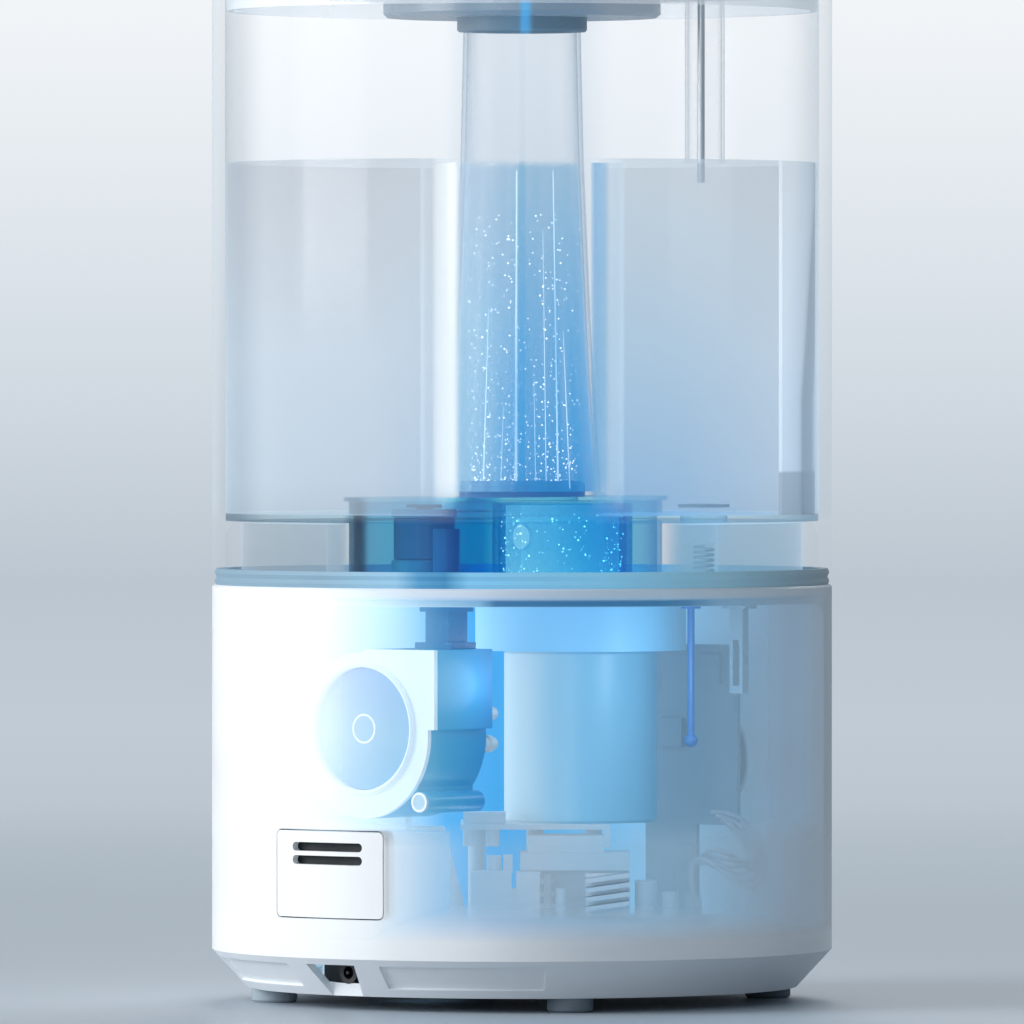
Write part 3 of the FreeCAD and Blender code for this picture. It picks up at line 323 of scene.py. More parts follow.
# White ABS from a polished mould: the finest grain, so soft lights keep their edges in it. The
# drawer greys very slightly along ACROSS as painted shade.
drawer_white = moulded("drawer_abs", [(-95, "#FAFBFC"), (95, "#F2F5F7")], 0.33, 0.25, 0.05)[0]
knob_white = moulded("knob_abs", "#F3F5F7", 0.3, 0.25, 0.05)[0]
# The floor ring greys along ACROSS as painted shade.
bottom_white = moulded("floor_ring_abs", [(-95, "#EEF2F5"), (0, "#E3E8EC"), (95, "#D3DAE0")],
                       0.4, 0.3, 0.08)[0]
# Smoked ABS: grey all through, with a broad soft gloss. The cup carries the painted ray, the
# nozzle greys a little along ACROSS as painted shade, and both glow faintly with painted lamp
# light.
cup_grey = moulded("cup_smoked_abs", [(-95, "#98A3AC"), (-1, "#8FA0AE")] + PAINTED_RAY
                   + [(3.4, "#8A9AAA"), (95, "#98A3AC")], 0.25, glow=0.15)[0]
nozzle_grey = moulded("nozzle_smoked_abs", [(-95, "#98A3AC"), (95, "#8F9BA5")], 0.25, glow=0.08)[0]
# Silicone: a dry matt skin that takes the colour of the light near it, and that light is painted:
# the blues and the darker greys along ACROSS are painted lamp light and painted shade, the collar
# carries the painted ray, and where a seal glows, the glow is painted lamp light.
lid_seal = moulded("lid_seal_silicone", [(-95, "#8C979F"), (95, "#838E97")], 0.6, 0.6, 0.15)[0]
collar_grey = moulded("collar_silicone", [(-20, "#8C969E"), (-1, "#6F90A6")] + PAINTED_RAY
                      + [(3.4, "#66808F"), (20, "#6C7B88")], 0.5, 0.6, 0.15, 0.15)[0]
gasket_grey = moulded("gasket_silicone", [(-95, "#7D97A8"), (-60, "#7E9DB0"), (-38, "#8AB6D0"),
                                          (-31, "#4C92BC"), (-23, "#3F88B4"), (-16, "#7CBEE2"),
                                          (26, "#8CCDEC"), (60, "#8CB8CC"), (95, "#76838E")],
                      0.6, 0.6, 0.15, 0.26)[0]
seal_painted_lamp_blue = moulded("seal_silicone_painted_lamp_blue", [(-95, "#1576B4"), (95, "#0F66A6")], 0.5, 0.6, 0.15, 0.23)[0]
# Rubber feet and the felt pad: rough enough to show no gloss at all. The feet are lighter on the
# drawer's side as a painted highlight and darker beyond as painted shade.
foot_rubber = moulded("foot_rubber", [(-95, "#A9B6C0"), (-38, "#6E7A84"), (95, "#5C6772")],
                      0.75, 0.7, 0.3)[0]
pad_felt = moulded("pad_felt", "#ECEBE4", 0.95, 0.8, 0.9)[0]
print("plastics ready")


# %% [markdown]
# Metals have no colour of their own under the gloss: the whole reflection is tinted. Stamped and
# plated parts keep faint streaks, which a stretched noise gives.

# %% Metals
def metal(name, code, roughness, streak=(300.0, 300.0, 3000.0)):
    """Make a metal with faint streaks."""
    made, tree = fresh(name)
    where = add(tree, "TexCoord")
    drawn = add(tree, "Mapping", [("Vector", where, "Object")], {"Scale": streak})
    noise = add(tree, "TexNoise", [("Vector", drawn, "Vector")], {"Scale": 1.0, "Detail": 3.0})
    rough = add(tree, "MapRange", [("Value", noise, "Fac")],
                {"To Min": roughness - 0.08, "To Max": roughness + 0.1})
    bump = add(tree, "Bump", [("Height", noise, "Fac")], {"Strength": 0.1, "Distance": 0.0001})
    skin = add(tree, "BsdfPrincipled", [("Roughness", rough, "Result"), ("Normal", bump, "Normal")],
               {"Base Color": colour(code), "Metallic": 1.0})
    add(tree, "OutputMaterial", [("Surface", skin, "BSDF")])
    return made


zinc = metal("zinc_plate", "#B9C0C6", 0.35)            # bright screws and springs, a little blue
motor_steel = metal("motor_case_steel", "#7E8A94", 0.4)   # drawn steel, darker and duller
nickel = metal("nickel_plate", "#D5D8DA", 0.22)         # the disc's thin warm mirror
fin_metal = metal("extruded_aluminium", "#D9E0E5", 0.35)  # satin fins with lines along the die
print("metals ready")


# %% [markdown]
# The tank, its floor, the chimney and the level tube are clear polished plastic. Most light goes
# straight through, and a share that grows towards the edge of each curved wall is reflected or
# caught by the plastic. A mix of a clear shader and a glossy one, steered by the facing angle,
# gives both without bending the view of what is behind. The glossy one's colour is painted light
# and shade along ACROSS, and it glows with that painted light as emission.

# %% Clear plastic
def clear_plastic(name, shades, body, edge, roughness=0.05, power=2.2, glow=0.0, tint=None, calm=0):
    """Make clear plastic: body is its cover face on, edge its cover at grazing angles.

    Shades are (mm across, code) stops of painted light and shade that the skin also gives off with
    glow. Tint paints the lamp's light onto what is behind, and below the height calm in mm the cover
    is thinner.
    """
    made, tree = fresh(name)
    where = add(tree, "TexCoord")
    facing = add(tree, "LayerWeight", inputs={"Blend": 0.5})
    curve = add(tree, "Math", [(0, facing, "Facing")], {1: power}, operation="POWER")
    noise = add(tree, "TexNoise", [("Vector", where, "Object")], {"Scale": 60.0, "Detail": 3.0})
    ripple = add(tree, "Bump", [("Height", noise, "Fac")], {"Strength": 0.04, "Distance": 0.0004})
    cover = add(tree, "MapRange", [("Value", curve, "Value")], {"To Min": body, "To Max": edge})
    rough = add(tree, "MapRange", [("Value", noise, "Fac")],
                {"To Min": max(0.0, roughness - 0.03), "To Max": roughness + 0.05})
    shade = across_ramp(tree, where, shades)
    skin = add(tree, "BsdfPrincipled", [("Base Color", shade, "Color"), ("Emission Color", shade, "Color"),
                                        ("Roughness", rough, "Result"), ("Normal", ripple, "Normal")],
               {"IOR": 1.49, "Emission Strength": glow})
    through = add(tree, "BsdfTransparent")
    if tint:
        stain = across_ramp(tree, where, tint)
        tree.links.new(stain.outputs["Color"], through.inputs["Color"])
    level = add(tree, "SeparateXYZ", [("Vector", where, "Object")])
    hush = add(tree, "MapRange", [("Value", level, "Z")],
               {"From Min": (calm - 3) * MM, "From Max": calm * MM, "To Min": 0.25, "To Max": 1.0})
    cover = add(tree, "Math", [(0, cover, "Result"), (1, hush, "Result")], operation="MULTIPLY")
    mixed = add(tree, "MixShader", [(0, cover, "Value"), (1, through, "BSDF"), (2, skin, "BSDF")])
    add(tree, "OutputMaterial", [("Surface", mixed, "Shader")])
    return made


# Polished SAN: nearly unseen face on. Its colour is painted light: a pale painted sheen over
# most of the wall, grey painted shade at the side walls, painted lamp blue in its soft core, and a
# glow of that painted light.
tank_clear = clear_plastic("tank_clear_san", [(-94, "#C2CCD3"), (-91, "#8E9AA3"), (-85, "#95A1AA"),
                                              (-78, "#F4F8FB"), (-24, "#F4F8FB"), (-16, "#5E9CC4"),
                                              (18, "#5E9CC4"), (27, "#EEF3F7"), (80, "#EEF3F7"),
                                              (88, "#A9B6C0"), (94, "#BCC7CF")],
                           0.045, 0.5, 0.06, 5.0, 0.5, calm=150)
# The same SAN in the floor, thick and over the lamp. Its blues are painted lamp light and painted
# shade with a painted glow, its tint paints the lamp's blue onto what is behind it, and a narrow
# grey-blue stop in that tint paints a shade line at the edge of the chamber.
floor_clear = clear_plastic("tank_floor_clear_san", [(-55, "#1F4E6C"), (-30, "#1C6FA0"), (30, "#3C9AD0"),
                                                     (60, "#8FB9D6")], 0.04, 0.75, 0.08, 2.2, 0.12,
                            [(-95, "#F4FCFE"), (-54, "#E9FAFF"), (-52, "#A2C6D2"), (-49, "#A2C6D2"),
                             (-47, "#D8F6FE"), (-28, "#BCF2FC"), (-20, "#84E2F6"), (-12, "#90E4F8"),
                             (-6, "#DCFBFF"), (30, "#D4FAFF"), (36, "#E4FBFF"), (60, "#F0FCFF")])
# The chimney and the level tube glow faintly with painted light, and the chimney greys a little along
# ACROSS as painted shade.
chimney_clear = clear_plastic("chimney_clear_san", [(-95, "#AEBECB"), (95, "#A3B5C4")],
                              0.02, 0.75, 0.05, 3.5, 0.2)
tube_clear = clear_plastic("tube_clear_san", [(-95, "#A8B3BC"), (95, "#A8B3BC")], 0.03, 0.7, 0.05, 3.0, 0.2)
# The mist well over the lamp: its blues, its tint on what is behind and its glow are painted lamp light.
well_clear = clear_plastic("well_clear_san_painted_lamp_blue", [(-12, "#0A5C9A"), (0, "#1F86CC"), (34, "#0F72B8")],
                           0.1, 0.85, 0.08, 2.4, 0.3, [(-12, "#EAFCFF"), (8, "#E4FBFF"), (32, "#B4F0FC")])
# Frosted polypropylene and a smoked lid: rougher, so what is behind goes soft. Both glow with
# painted light, and the lid greys a little along ACROSS as painted shade.
valve_clear = clear_plastic("valve_frosted_pp", [(-95, "#B4D2E8"), (95, "#B4D2E8")],
                            0.05, 0.35, 0.3, 2.0, 0.4)
lid_clear = clear_plastic("lid_smoked_san", [(-95, "#E6EBEF"), (95, "#D9E0E5")], 0.25, 0.9, 0.1, 1.8, 0.3)
# Cast epoxy round the lamp's chip: glassy, and bright with its own light. Its blue deepens along
# ACROSS as painted shade.
lamp_clear = clear_plastic("lamp_clear_epoxy", [(-95, "#A9D9F4"), (95, "#7FC0EA")],
                           0.15, 0.6, 0.08, 2.0, 0.5)
print("clear plastics ready")

# %% [markdown]
# The narrow sheet inside the tank is satin plastic with a soft gloss and a pale painted glow, and
# one edge of it carries a painted shade. The painted shade widens downwards, so the ramp across it
# slides with the height. The clip at its foot is drawn darker below its top edge. One material does
# this, because the sheet and its clip are one moulding.

# %% Side panel with painted shade and glow
panel_pale, tree = fresh("side_panel_painted_shade_and_glow")
where = add(tree, "TexCoord")
level = add(tree, "SeparateXYZ", [("Vector", where, "Object")])
SLIDE = 4.3                # mm that the painted shade has slid out at the sheet's top
CLIP_TOP = 0.1622          # height of the clip's top edge
shift = add(tree, "MapRange", [("Value", level, "Z")],
            {"From Min": 0.184, "From Max": 0.245, "To Max": -SLIDE / (2 * REACH)})
lean = add(tree, "Math", [(0, across_place(tree, where), "Result"), (1, shift, "Result")])
shade = ramp(tree, lean, "Value", [(across(x), colour(code)) for x, code in
                                   ((78, "#F6FAFD"), (84.4, "#DCE6EF"), (85.4, "#5F717E"),
                                    (88.4, "#5A6C7A"), (89.6, "#D5DFE8"))])
block = add(tree, "MapRange", [("Value", level, "Z")],
            {"From Min": CLIP_TOP - 0.0004, "From Max": CLIP_TOP + 0.0004, "To Min": 0.4, "To Max": 1.0})
tone = add(tree, "VectorMath", [(0, shade, "Color"), (1, block, "Result")], operation="MULTIPLY")
noise = add(tree, "TexNoise", [("Vector", where, "Object")], {"Scale": 70.0, "Detail": 4.0})
amount = add(tree, "MapRange", [("Value", noise, "Fac")], {"To Min": 0.7, "To Max": 0.85})
skin = add(tree, "BsdfPrincipled", [("Base Color", tone, "Vector"), ("Emission Color", tone, "Vector")],
           {"Roughness": 0.28, "IOR": 1.49, "Emission Strength": 0.35})
through = add(tree, "BsdfTransparent")
mixed = add(tree, "MixShader", [(0, amount, "Result"), (1, through, "BSDF"), (2, skin, "BSDF")])
add(tree, "OutputMaterial", [("Surface", mixed, "Shader")])
print("side panel ready")


# %% [markdown]
# The base shell is white ABS with a window of see-through white in its rear side, which shows
# the works. Its cover falls smoothly from solid at the drawer's side and at the upper and lower
# bands to a thin veil in the middle. The same veil helps the eye to read the curve of the shell.
# Its outer white greys along ACROSS as painted shade, and its inner face carries painted lamp
# light that glows.

# %% Window shell
LINING = {"From Min": 0.0926, "From Max": 0.0930}   # between the shell's inner and outer faces
# Outer white: greying along ACROSS as painted shade.
shell_white, tree, skin = moulded("shell_abs_with_window", [(-95, "#FBFCFD"), (0, "#EEF2F5"),
                                                            (95, "#E2E8EC")], 0.34, 0.25, 0.05)
where = add(tree, "TexCoord")
veil_high = amount_ramp(tree, where, [(-95, 1.0), (-80, 0.95), (-70, 0.62), (-63, 0.34), (-50, 0.22),
                                      (-32, 0.13), (-24, 0.05), (-12, 0.03), (42, 0.04), (56, 0.12),
                                      (73, 0.27), (86, 0.45), (95, 0.8)])
veil_low = amount_ramp(tree, where, [(-95, 1.0), (-45, 0.96), (-40, 0.7), (-30, 0.42), (-18, 0.2),
                                     (-8, 0.15), (30, 0.2), (60, 0.35), (80, 0.6), (95, 0.85)])
split = add(tree, "SeparateXYZ", [("Vector", where, "Object")])
below = add(tree, "MapRange", [("Value", split, "Z")], {"From Min": 0.050, "From Max": 0.058,
                                                        "To Min": 1.0, "To Max": 0.0})
veil = add(tree, "MixRGB", [("Fac", below, "Result"), ("Color1", veil_high, "Color"),
                            ("Color2", veil_low, "Color")])
up = add(tree, "MapRange", [("Value", split, "Z")], {"From Min": 0.016, "From Max": 0.1275})
band = ramp(tree, up, "Result", [(k, grey(value)) for k, value in
                                 ((0.0, 1.0), (0.05, 1.0), (0.13, 0.35), (0.2, 0.0), (0.965, 0.0),
                                  (0.978, 0.75), (1.0, 0.85))])
near = add(tree, "VectorMath", [(0, where, "Object")], {1: tuple(TOWARDS)}, operation="DOT_PRODUCT")
front = add(tree, "MapRange", [("Value", near, "Value")],
            {"From Min": -0.002, "From Max": 0.012, "To Min": 1.0, "To Max": 0.0})
cover = add(tree, "Math", [(0, veil, "Color"), (1, band, "Color")], operation="MAXIMUM")
cover = add(tree, "Math", [(0, cover, "Value"), (1, front, "Result")], operation="MAXIMUM", use_clamp=True)
flat = add(tree, "VectorMath", [(0, where, "Object")], {1: (1.0, 1.0, 0.0)}, operation="MULTIPLY")
reach = add(tree, "VectorMath", [(0, flat, "Vector")], operation="LENGTH")
inside = add(tree, "MapRange", [("Value", reach, "Value")],
             {**LINING, "To Min": 0.7, "To Max": 0.0})
# Painted lamp light on the inner face: white on the drawer's side, blue near the lamp, grey beyond, given
# off as emission.
lit = across_ramp(tree, where, [(-95, "#FFFFFF"), (-60, "#EAF4FA"), (-40, "#B4D9EE"), (-24, "#4FA6D6"),
                                (-8, "#3E9CD0"), (12, "#5FA6CE"), (42, "#86BBD8"), (60, "#80A9C2"),
                                (80, "#7C95A8"), (95, "#7C8F9E")])
inner = add(tree, "Mapping", [("Vector", lit, "Color")], {"Scale": (0.85, 0.85, 0.85)})
pick = add(tree, "MapRange", [("Value", reach, "Value")], LINING)
outer = skin.inputs["Base Color"].links[0].from_node
far = add(tree, "MixRGB", [("Fac", pick, "Result"), ("Color1", inner, "Vector"),
                           ("Color2", outer, "Vector")])
tree.links.new(far.outputs["Color"], skin.inputs["Base Color"])
tree.links.new(lit.outputs["Color"], skin.inputs["Emission Color"])
tree.links.new(inside.outputs["Result"], skin.inputs["Emission Strength"])
through = add(tree, "BsdfTransparent")
mixed = add(tree, "MixShader", [(0, cover, "Value"), (1, through, "BSDF"), (2, skin, "BSDF")])
tree.links.new(mixed.outputs["Shader"], tree.nodes["Material Output"].inputs["Surface"])
print("shell ready")

# %% [markdown]
# The water deck is white ABS too, with the works' painted lamp light and painted shade along
# ACROSS and a painted glow. A thin dark blue line is painted at the foot of its rim, standing for
# the lamp's light where it leaves the edge of the plastic. The line is drawn by height, over the
# finish of the works.

# %% Water deck
deck_white, tree, skin = moulded("water_deck_abs", [(-95, "#F4F8FA"), (-40, "#D9F0FA"), (-16, "#9ED2EC"),
                                                    (14, "#84C2E4"), (40, "#7DB6D4"), (95, "#8A9AA6")],
                                 0.45, glow=0.3)
where = tree.nodes["Texture Coordinate"]
split = add(tree, "SeparateXYZ", [("Vector", where, "Object")])
up = add(tree, "MapRange", [("Value", split, "Z")], {"From Min": 0.121, "From Max": 0.126})
line = ramp(tree, up, "Result", [(k, grey(value)) for k, value in
                                 ((0.0, 0.0), (0.2, 0.0), (0.26, 1.0), (0.6, 1.0), (0.68, 0.0),
                                  (1.0, 0.0))])
reach = amount_ramp(tree, where, [(-60, 0.0), (-13, 0.35), (-8, 1.0), (50, 0.9), (60, 0.2)])
amount = add(tree, "Math", [(0, line, "Color"), (1, reach, "Color")], operation="MULTIPLY")
old = skin.inputs["Base Color"].links[0].from_node
marked = add(tree, "MixRGB", [("Fac", amount, "Value"), ("Color1", old, "Vector")],
             {"Color2": colour("#1F6E9E")})
tree.links.new(marked.outputs["Color"], skin.inputs["Base Color"])
tree.links.new(marked.outputs["Color"], skin.inputs["Emission Color"])
print("deck ready")

# %% [markdown]
# Each solid of the frame takes its finish by name, in its own material slots. A table keeps this
# easy to read and to change.

# %% Give the solids their finishes
FINISHES = {
    shell_white: "base_shell",
    bottom_white: "base_floor control_bezel",
    drawer_white: "drawer_panel",
    knob_white: "control_knob",
    deck_white: "deck_tray",
    inner_white: "drawer_sleeve fan_bracket",
    low_white: "fan_screws chassis_plate intake_cone driver_module board_parts transformer",
    can_white: "transducer_housing transducer_cap sound_cone",
    fan_painted_lamp_blue: "fan_housing",
    cover_white: "fan_cover",
    wheel_painted_lamp_blue: "impeller",
    duct_painted_lamp_blue: "air_duct",
    float_band_blue: "float_band",
    float_white: "float_base float_cap",
    post_painted_backlit_shade: "float_post valve_pin",
    cup_grey: "mist_cup",
    nozzle_grey: "nozzle",
    lid_seal: "lid_gasket valve_washer",
    black_abs: "dc_jack encoder",
    lamp_foot: "lamp_base",
    gasket_grey: "tank_gasket",
    collar_grey: "collar_seal",
    seal_painted_lamp_blue: "chimney_seal piezo_seal",
    foot_rubber: "rubber_feet",
    pad_felt: "aroma_pad",
    board_green: "power_board control_board reed_switch",
    jacket_white: "wire_harness",
    zinc: "floor_screws level_rod valve_spring",
    motor_steel: "fan_motor",
    nickel: "piezo_disc",
    fin_metal: "heat_sink",
    probe_blue: "level_probe",
    tank_clear: "tank_wall",
    floor_clear: "tank_floor",
    chimney_clear: "chimney",
    tube_clear: "level_tube",
    well_clear: "mist_well",
    valve_clear: "valve_seat valve_stem",
    panel_pale: "side_panel",
    lamp_clear: "lamp_post",
    lid_clear: "lid_ring",
}
for finish, names in FINISHES.items():
    for name in names.split():
        for held in nodes[name].material_slots:
            held.material = finish
print("finished", sum(len(names.split()) for names in FINISHES.values()), "solids")

# %% [markdown]
# Round pieces are pulled up as on a lathe: a ring of points is extruded from step to step of a
# (radius, height) outline, scaled and lifted each time. The outline runs anticlockwise as seen
# with the axis on the left, and its first and last steps meet, so the shape closes on itself.

# %% Lathe helper
def lathe(name, outline, at=(0, 0, 0), sides=96, turn=(0, 0, 0)):
    """Pull a ring through a closed outline of (radius, height) steps in mm, turn it and place it."""
    bpy.ops.object.select_all(action="DESELECT")
    bpy.ops.mesh.primitive_circle_add(vertices=sides, radius=outline[0][0] * MM,
                                      location=(0, 0, outline[0][1] * MM))
    piece = bpy.context.object
    piece.name = name
    bpy.ops.object.mode_set(mode="EDIT")
    bpy.ops.mesh.select_all(action="SELECT")
    for (r0, z0), (r1, z1) in zip(outline, outline[1:] + outline[:1]):
        bpy.ops.mesh.extrude_region_move(TRANSFORM_OT_translate={"value": (0, 0, (z1 - z0) * MM)})
        bpy.ops.transform.resize(value=(r1 / r0, r1 / r0, 1), center_override=(0, 0, 0))
    bpy.ops.mesh.select_all(action="SELECT")
    bpy.ops.mesh.remove_doubles(threshold=0.00001)
    bpy.ops.mesh.normals_make_consistent(inside=False)
    bpy.ops.object.mode_set(mode="OBJECT")
    bpy.ops.object.transform_apply(location=True, rotation=True, scale=True)
    piece.location, piece.rotation_euler = at, turn
    bpy.ops.object.transform_apply(location=True, rotation=True, scale=True)
    bpy.ops.object.shade_smooth_by_angle(angle=math.radians(35))
    return piece


def settle(piece, finish, body):
    """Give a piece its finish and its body."""
    piece.data.materials.clear()
    piece.data.materials.append(finish)
    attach(piece, body)
    return piece


# %% [markdown]
# Water is the biggest thing in the tank. It's a body of its own between the tank wall and the
# chimney, with a flat top at the full line. Lit from the base, it glows faintly, and that glow is
# painted light: grey and pale on the drawer's side, and bluer low down on the lamp's side. Two
# ramps up the height, one for each side, are blended along ACROSS.

# %% Water
FULL_LINE = 256.5


def lit_veil(name, left, right, blend, cover, low, high, mask=None, glow=1.0, streak=0.0):
    """Make a veil glowing with painted light between two heights in mm.

    Left and right are (place, code) stops up the height, and blend is (mm across, share of right).
    Cover is (place, value) stops up the height, and mask is (mm across, share of the cover).
    """
    made, tree = fresh(name)
    where = add(tree, "TexCoord")
    split = add(tree, "SeparateXYZ", [("Vector", where, "Object")])
    up = add(tree, "MapRange", [("Value", split, "Z")], {"From Min": low * MM, "From Max": high * MM})
    one = ramp(tree, up, "Result", [(k, colour(code)) for k, code in left])
    two = ramp(tree, up, "Result", [(k, colour(code)) for k, code in right])
    share = amount_ramp(tree, where, blend)
    tone = add(tree, "MixRGB", [("Fac", share, "Color"), ("Color1", one, "Color"),
                                ("Color2", two, "Color")])
    amount = ramp(tree, up, "Result", [(k, grey(value)) for k, value in cover])
    drawn = add(tree, "Mapping", [("Vector", where, "Object")], {"Scale": (260.0, 260.0, 6.0)})
    lines = add(tree, "TexNoise", [("Vector", drawn, "Vector")], {"Scale": 1.0, "Detail": 2.0})
    wave = add(tree, "MapRange", [("Value", lines, "Fac")],
               {"From Min": 0.35, "From Max": 0.65, "To Min": 1.0 - streak, "To Max": 1.0 + streak})
    amount = add(tree, "Math", [(0, amount, "Color"), (1, wave, "Result")], operation="MULTIPLY")
    if mask:
        masked = amount_ramp(tree, where, mask)
        amount = add(tree, "Math", [(0, amount, "Value"), (1, masked, "Color")], operation="MULTIPLY")
    amount.use_clamp = True
    noise = add(tree, "TexNoise", [("Vector", where, "Object")], {"Scale": 35.0, "Detail": 2.0})
    ripple = add(tree, "Bump", [("Height", noise, "Fac")], {"Strength": 0.05, "Distance": 0.001})
    skin = add(tree, "BsdfPrincipled", [("Normal", ripple, "Normal"), ("Emission Color", tone, "Color")],
               {"Roughness": 0.08, "IOR": 1.333, "Emission Strength": glow,
                "Base Color": colour("#20262C")})
    through = add(tree, "BsdfTransparent")
    mixed = add(tree, "MixShader", [(0, amount, "Value"), (1, through, "BSDF"), (2, skin, "BSDF")])
    add(tree, "OutputMaterial", [("Surface", mixed, "Shader")])
    return made


# Still water: clear where the mist column stands in it, and a faint blue-grey glow of painted
# light elsewhere.
tank_water_look = lit_veil("tank_water",
                           [(0.0, "#9FB6C8"), (0.1, "#AEC4D8"), (0.45, "#B6C8DA"), (0.8, "#A8B4C2"),
                            (1.0, "#9AA6B4")],
                           [(0.0, "#4E9CD4"), (0.12, "#5CA4D8"), (0.46, "#86B4D6"), (0.9, "#A6BCCE"),
                            (1.0, "#A6BAC9")],
                           [(-90, 0.0), (-45, 0.1), (-10, 0.75), (28, 1.0), (48, 0.9), (75, 0.45),
                            (90, 0.3)],
                           [(0.0, 0.45), (1.0, 0.42)], 149, 257,
                           [(-95, 1.0), (-26, 1.0), (-20, 0.06), (22, 0.06), (30, 1.0), (95, 1.0)],
                           glow=0.95)
water = lathe("tank_water", [(90.9, 149.4), (90.9, FULL_LINE), (19.3, FULL_LINE), (20.7, 205),
                             (24.6, 156.2), (24.6, 149.4)])
settle(water, tank_water_look, "tank")
# The shallow water in the basin below, glowing with painted light, left out where the float and
# the mist well are.
basin_look = lit_veil("basin_water", [(0.0, "#93A2AE"), (1.0, "#A2B2BE")],
                      [(0.0, "#74A8C8"), (1.0, "#84B2D0")],
                      [(-90, 0.0), (-60, 0.3), (48, 1.0), (74, 0.8), (90, 0.4)],
                      [(0.0, 0.5), (1.0, 0.5)], 124, 150,
                      [(-95, 1.0), (-56, 1.0), (-53, 0.0), (44, 0.0), (50, 1.0), (95, 1.0)], glow=0.9)
basin = lathe("basin_water", [(86.0, 124.7), (86.0, 146.4), (60.0, 146.4), (60.0, 124.7)])
settle(basin, basin_look, "base")
print("water up to", FULL_LINE, "mm")

# %% [markdown]
# The mist rises through the chimney as a soft blue column, its colour the lamp's light painted in
# as a glow. It is densest over the mist well and thins out at the full line, where the light stops.
# Its body follows the chimney's inside, and a second short column fills the well, its painted
# light whitest where the spray leaves the vibrating disc.

# %% Mist in the chimney and in the well
mist_look = lit_veil("rising_mist", [(0.0, "#8CC8EC"), (0.33, "#A9D6F0"), (0.7, "#BCCBDD")],
                     [(0.0, "#0C88D0"), (0.12, "#1C96DA"), (0.33, "#4CA2DA"), (0.66, "#7CB0D2"),
                      (0.7, "#7CB0D2")],
                     [(-20, 0.0), (-8, 0.55), (-2, 1.0), (22, 1.0)],
                     [(0.0, 0.66), (0.35, 0.6), (0.69, 0.5), (0.705, 0.03), (1.0, 0.02)],
                     155, 300, glow=1.0, streak=0.2)
column = lathe("rising_mist", [(1.0, 156.0), (22.2, 156.0), (19.3, 205.0), (17.0, FULL_LINE), (16.1, 299.0),
                               (1.0, 299.0)], sides=64)
settle(column, mist_look, "tank")
spray_look = lit_veil("well_spray",
                      [(0.0, "#F4FBFF"), (0.16, "#C8E8FB"), (0.5, "#AADAF7"), (1.0, "#A0D4F5")],
                      [(0.0, "#D9F0FC"), (0.1, "#6CC0EE"), (0.5, "#4EB0E6"), (1.0, "#45A6E0")],
                      [(2, 0.0), (16, 0.5), (28, 1.0), (40, 1.0)],
                      [(0.0, 0.95), (0.2, 0.78), (1.0, 0.66)], 125, 152, glow=1.0, streak=0.3)
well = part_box("mist_well")
middle = ((well[0][0] + well[1][0]) / 2, (well[0][1] + well[1][1]) / 2, 0)
spray = lathe("well_spray", [(12.6, 125.4), (17.4, 125.4), (17.4, 151.4), (12.6, 151.4)],
              at=middle, sides=64)
settle(spray, spray_look, "base")
print("mist column and spray at", [round(v, 4) for v in middle])

# %% [markdown]
# Thin upright streaks of painted light stand in the mist, and fine drops hang in it, each a glint
# of painted light. The drops are tiny eight-sided balls, each its own size, thicker low down and
# in the well. They are scattered by a seeded random order, so the cloud is the same on every run.

# %% Streaks and drops
def bright(name, code, strength, cover=1.0):
    """Make a soft look of painted light, given off as emission, for a drop or a streak."""
    made, tree = fresh(name)
    where = add(tree, "TexCoord")
    noise = add(tree, "TexNoise", [("Vector", where, "Object")], {"Scale": 240.0, "Detail": 2.0})
    amount = add(tree, "MapRange", [("Value", noise, "Fac")], {"To Min": cover * 0.6, "To Max": cover})
    light = add(tree, "Emission", inputs={"Color": colour(code), "Strength": strength})
    through = add(tree, "BsdfTransparent")
    mixed = add(tree, "MixShader", [(0, amount, "Result"), (1, through, "BSDF"), (2, light, "Emission")])
    add(tree, "OutputMaterial", [("Surface", mixed, "Shader")])
    return made


def view_point(across_mm, towards_mm, up_mm):
    """Turn millimetres across, towards the viewer and up into a place."""
    return ACROSS * across_mm * MM + TOWARDS * towards_mm * MM + Vector((0, 0, up_mm * MM))


def join_all(parts, name):
    """Join several pieces into one and name it."""
    bpy.ops.object.select_all(action="DESELECT")
    for part in parts:
        part.select_set(True)
    bpy.context.view_layer.objects.active = parts[0]
    if len(parts) > 1:
        bpy.ops.object.join()
    parts[0].name = name
    return parts[0]


def apply_place():
    """Put the active piece's place, turn and size into its mesh."""
    bpy.ops.object.transform_apply(location=True, rotation=True, scale=True)


def rod_between(start, end, radius, sides=8, top=None):
    """Stand a tapered rod between two places."""
    line = end - start
    bpy.ops.object.select_all(action="DESELECT")
    bpy.ops.mesh.primitive_cone_add(vertices=sides, radius1=radius, radius2=radius if top is None else top,
                                    depth=line.length, location=(start + end) / 2,
                                    rotation=line.to_track_quat("Z", "Y").to_euler())
    apply_place()
    return bpy.context.object


streak_look = bright("mist_light_streak", "#CFECFF", 2.2, 0.8)
# Each streak: mm across, lowest and highest point in mm, radius in mm. They lean in as the
# chimney does.
STREAKS = [(-1.9, 157, 254, 0.45), (11.0, 157, 254, 0.32), (-11.9, 157, 212, 0.22), (4.2, 157, 190, 0.18),
           (7.4, 156, 236, 0.16), (14.6, 157, 205, 0.2), (-6.6, 157, 182, 0.16)]
streaks = join_all([rod_between(view_point(x, 14, low), view_point(x * 0.86, 11, high),
                                wide * MM, 8, wide * 0.4 * MM)
                    for x, low, high, wide in STREAKS], "light_streaks")
settle(streaks, streak_look, "tank")
print(len(STREAKS), "light streaks")

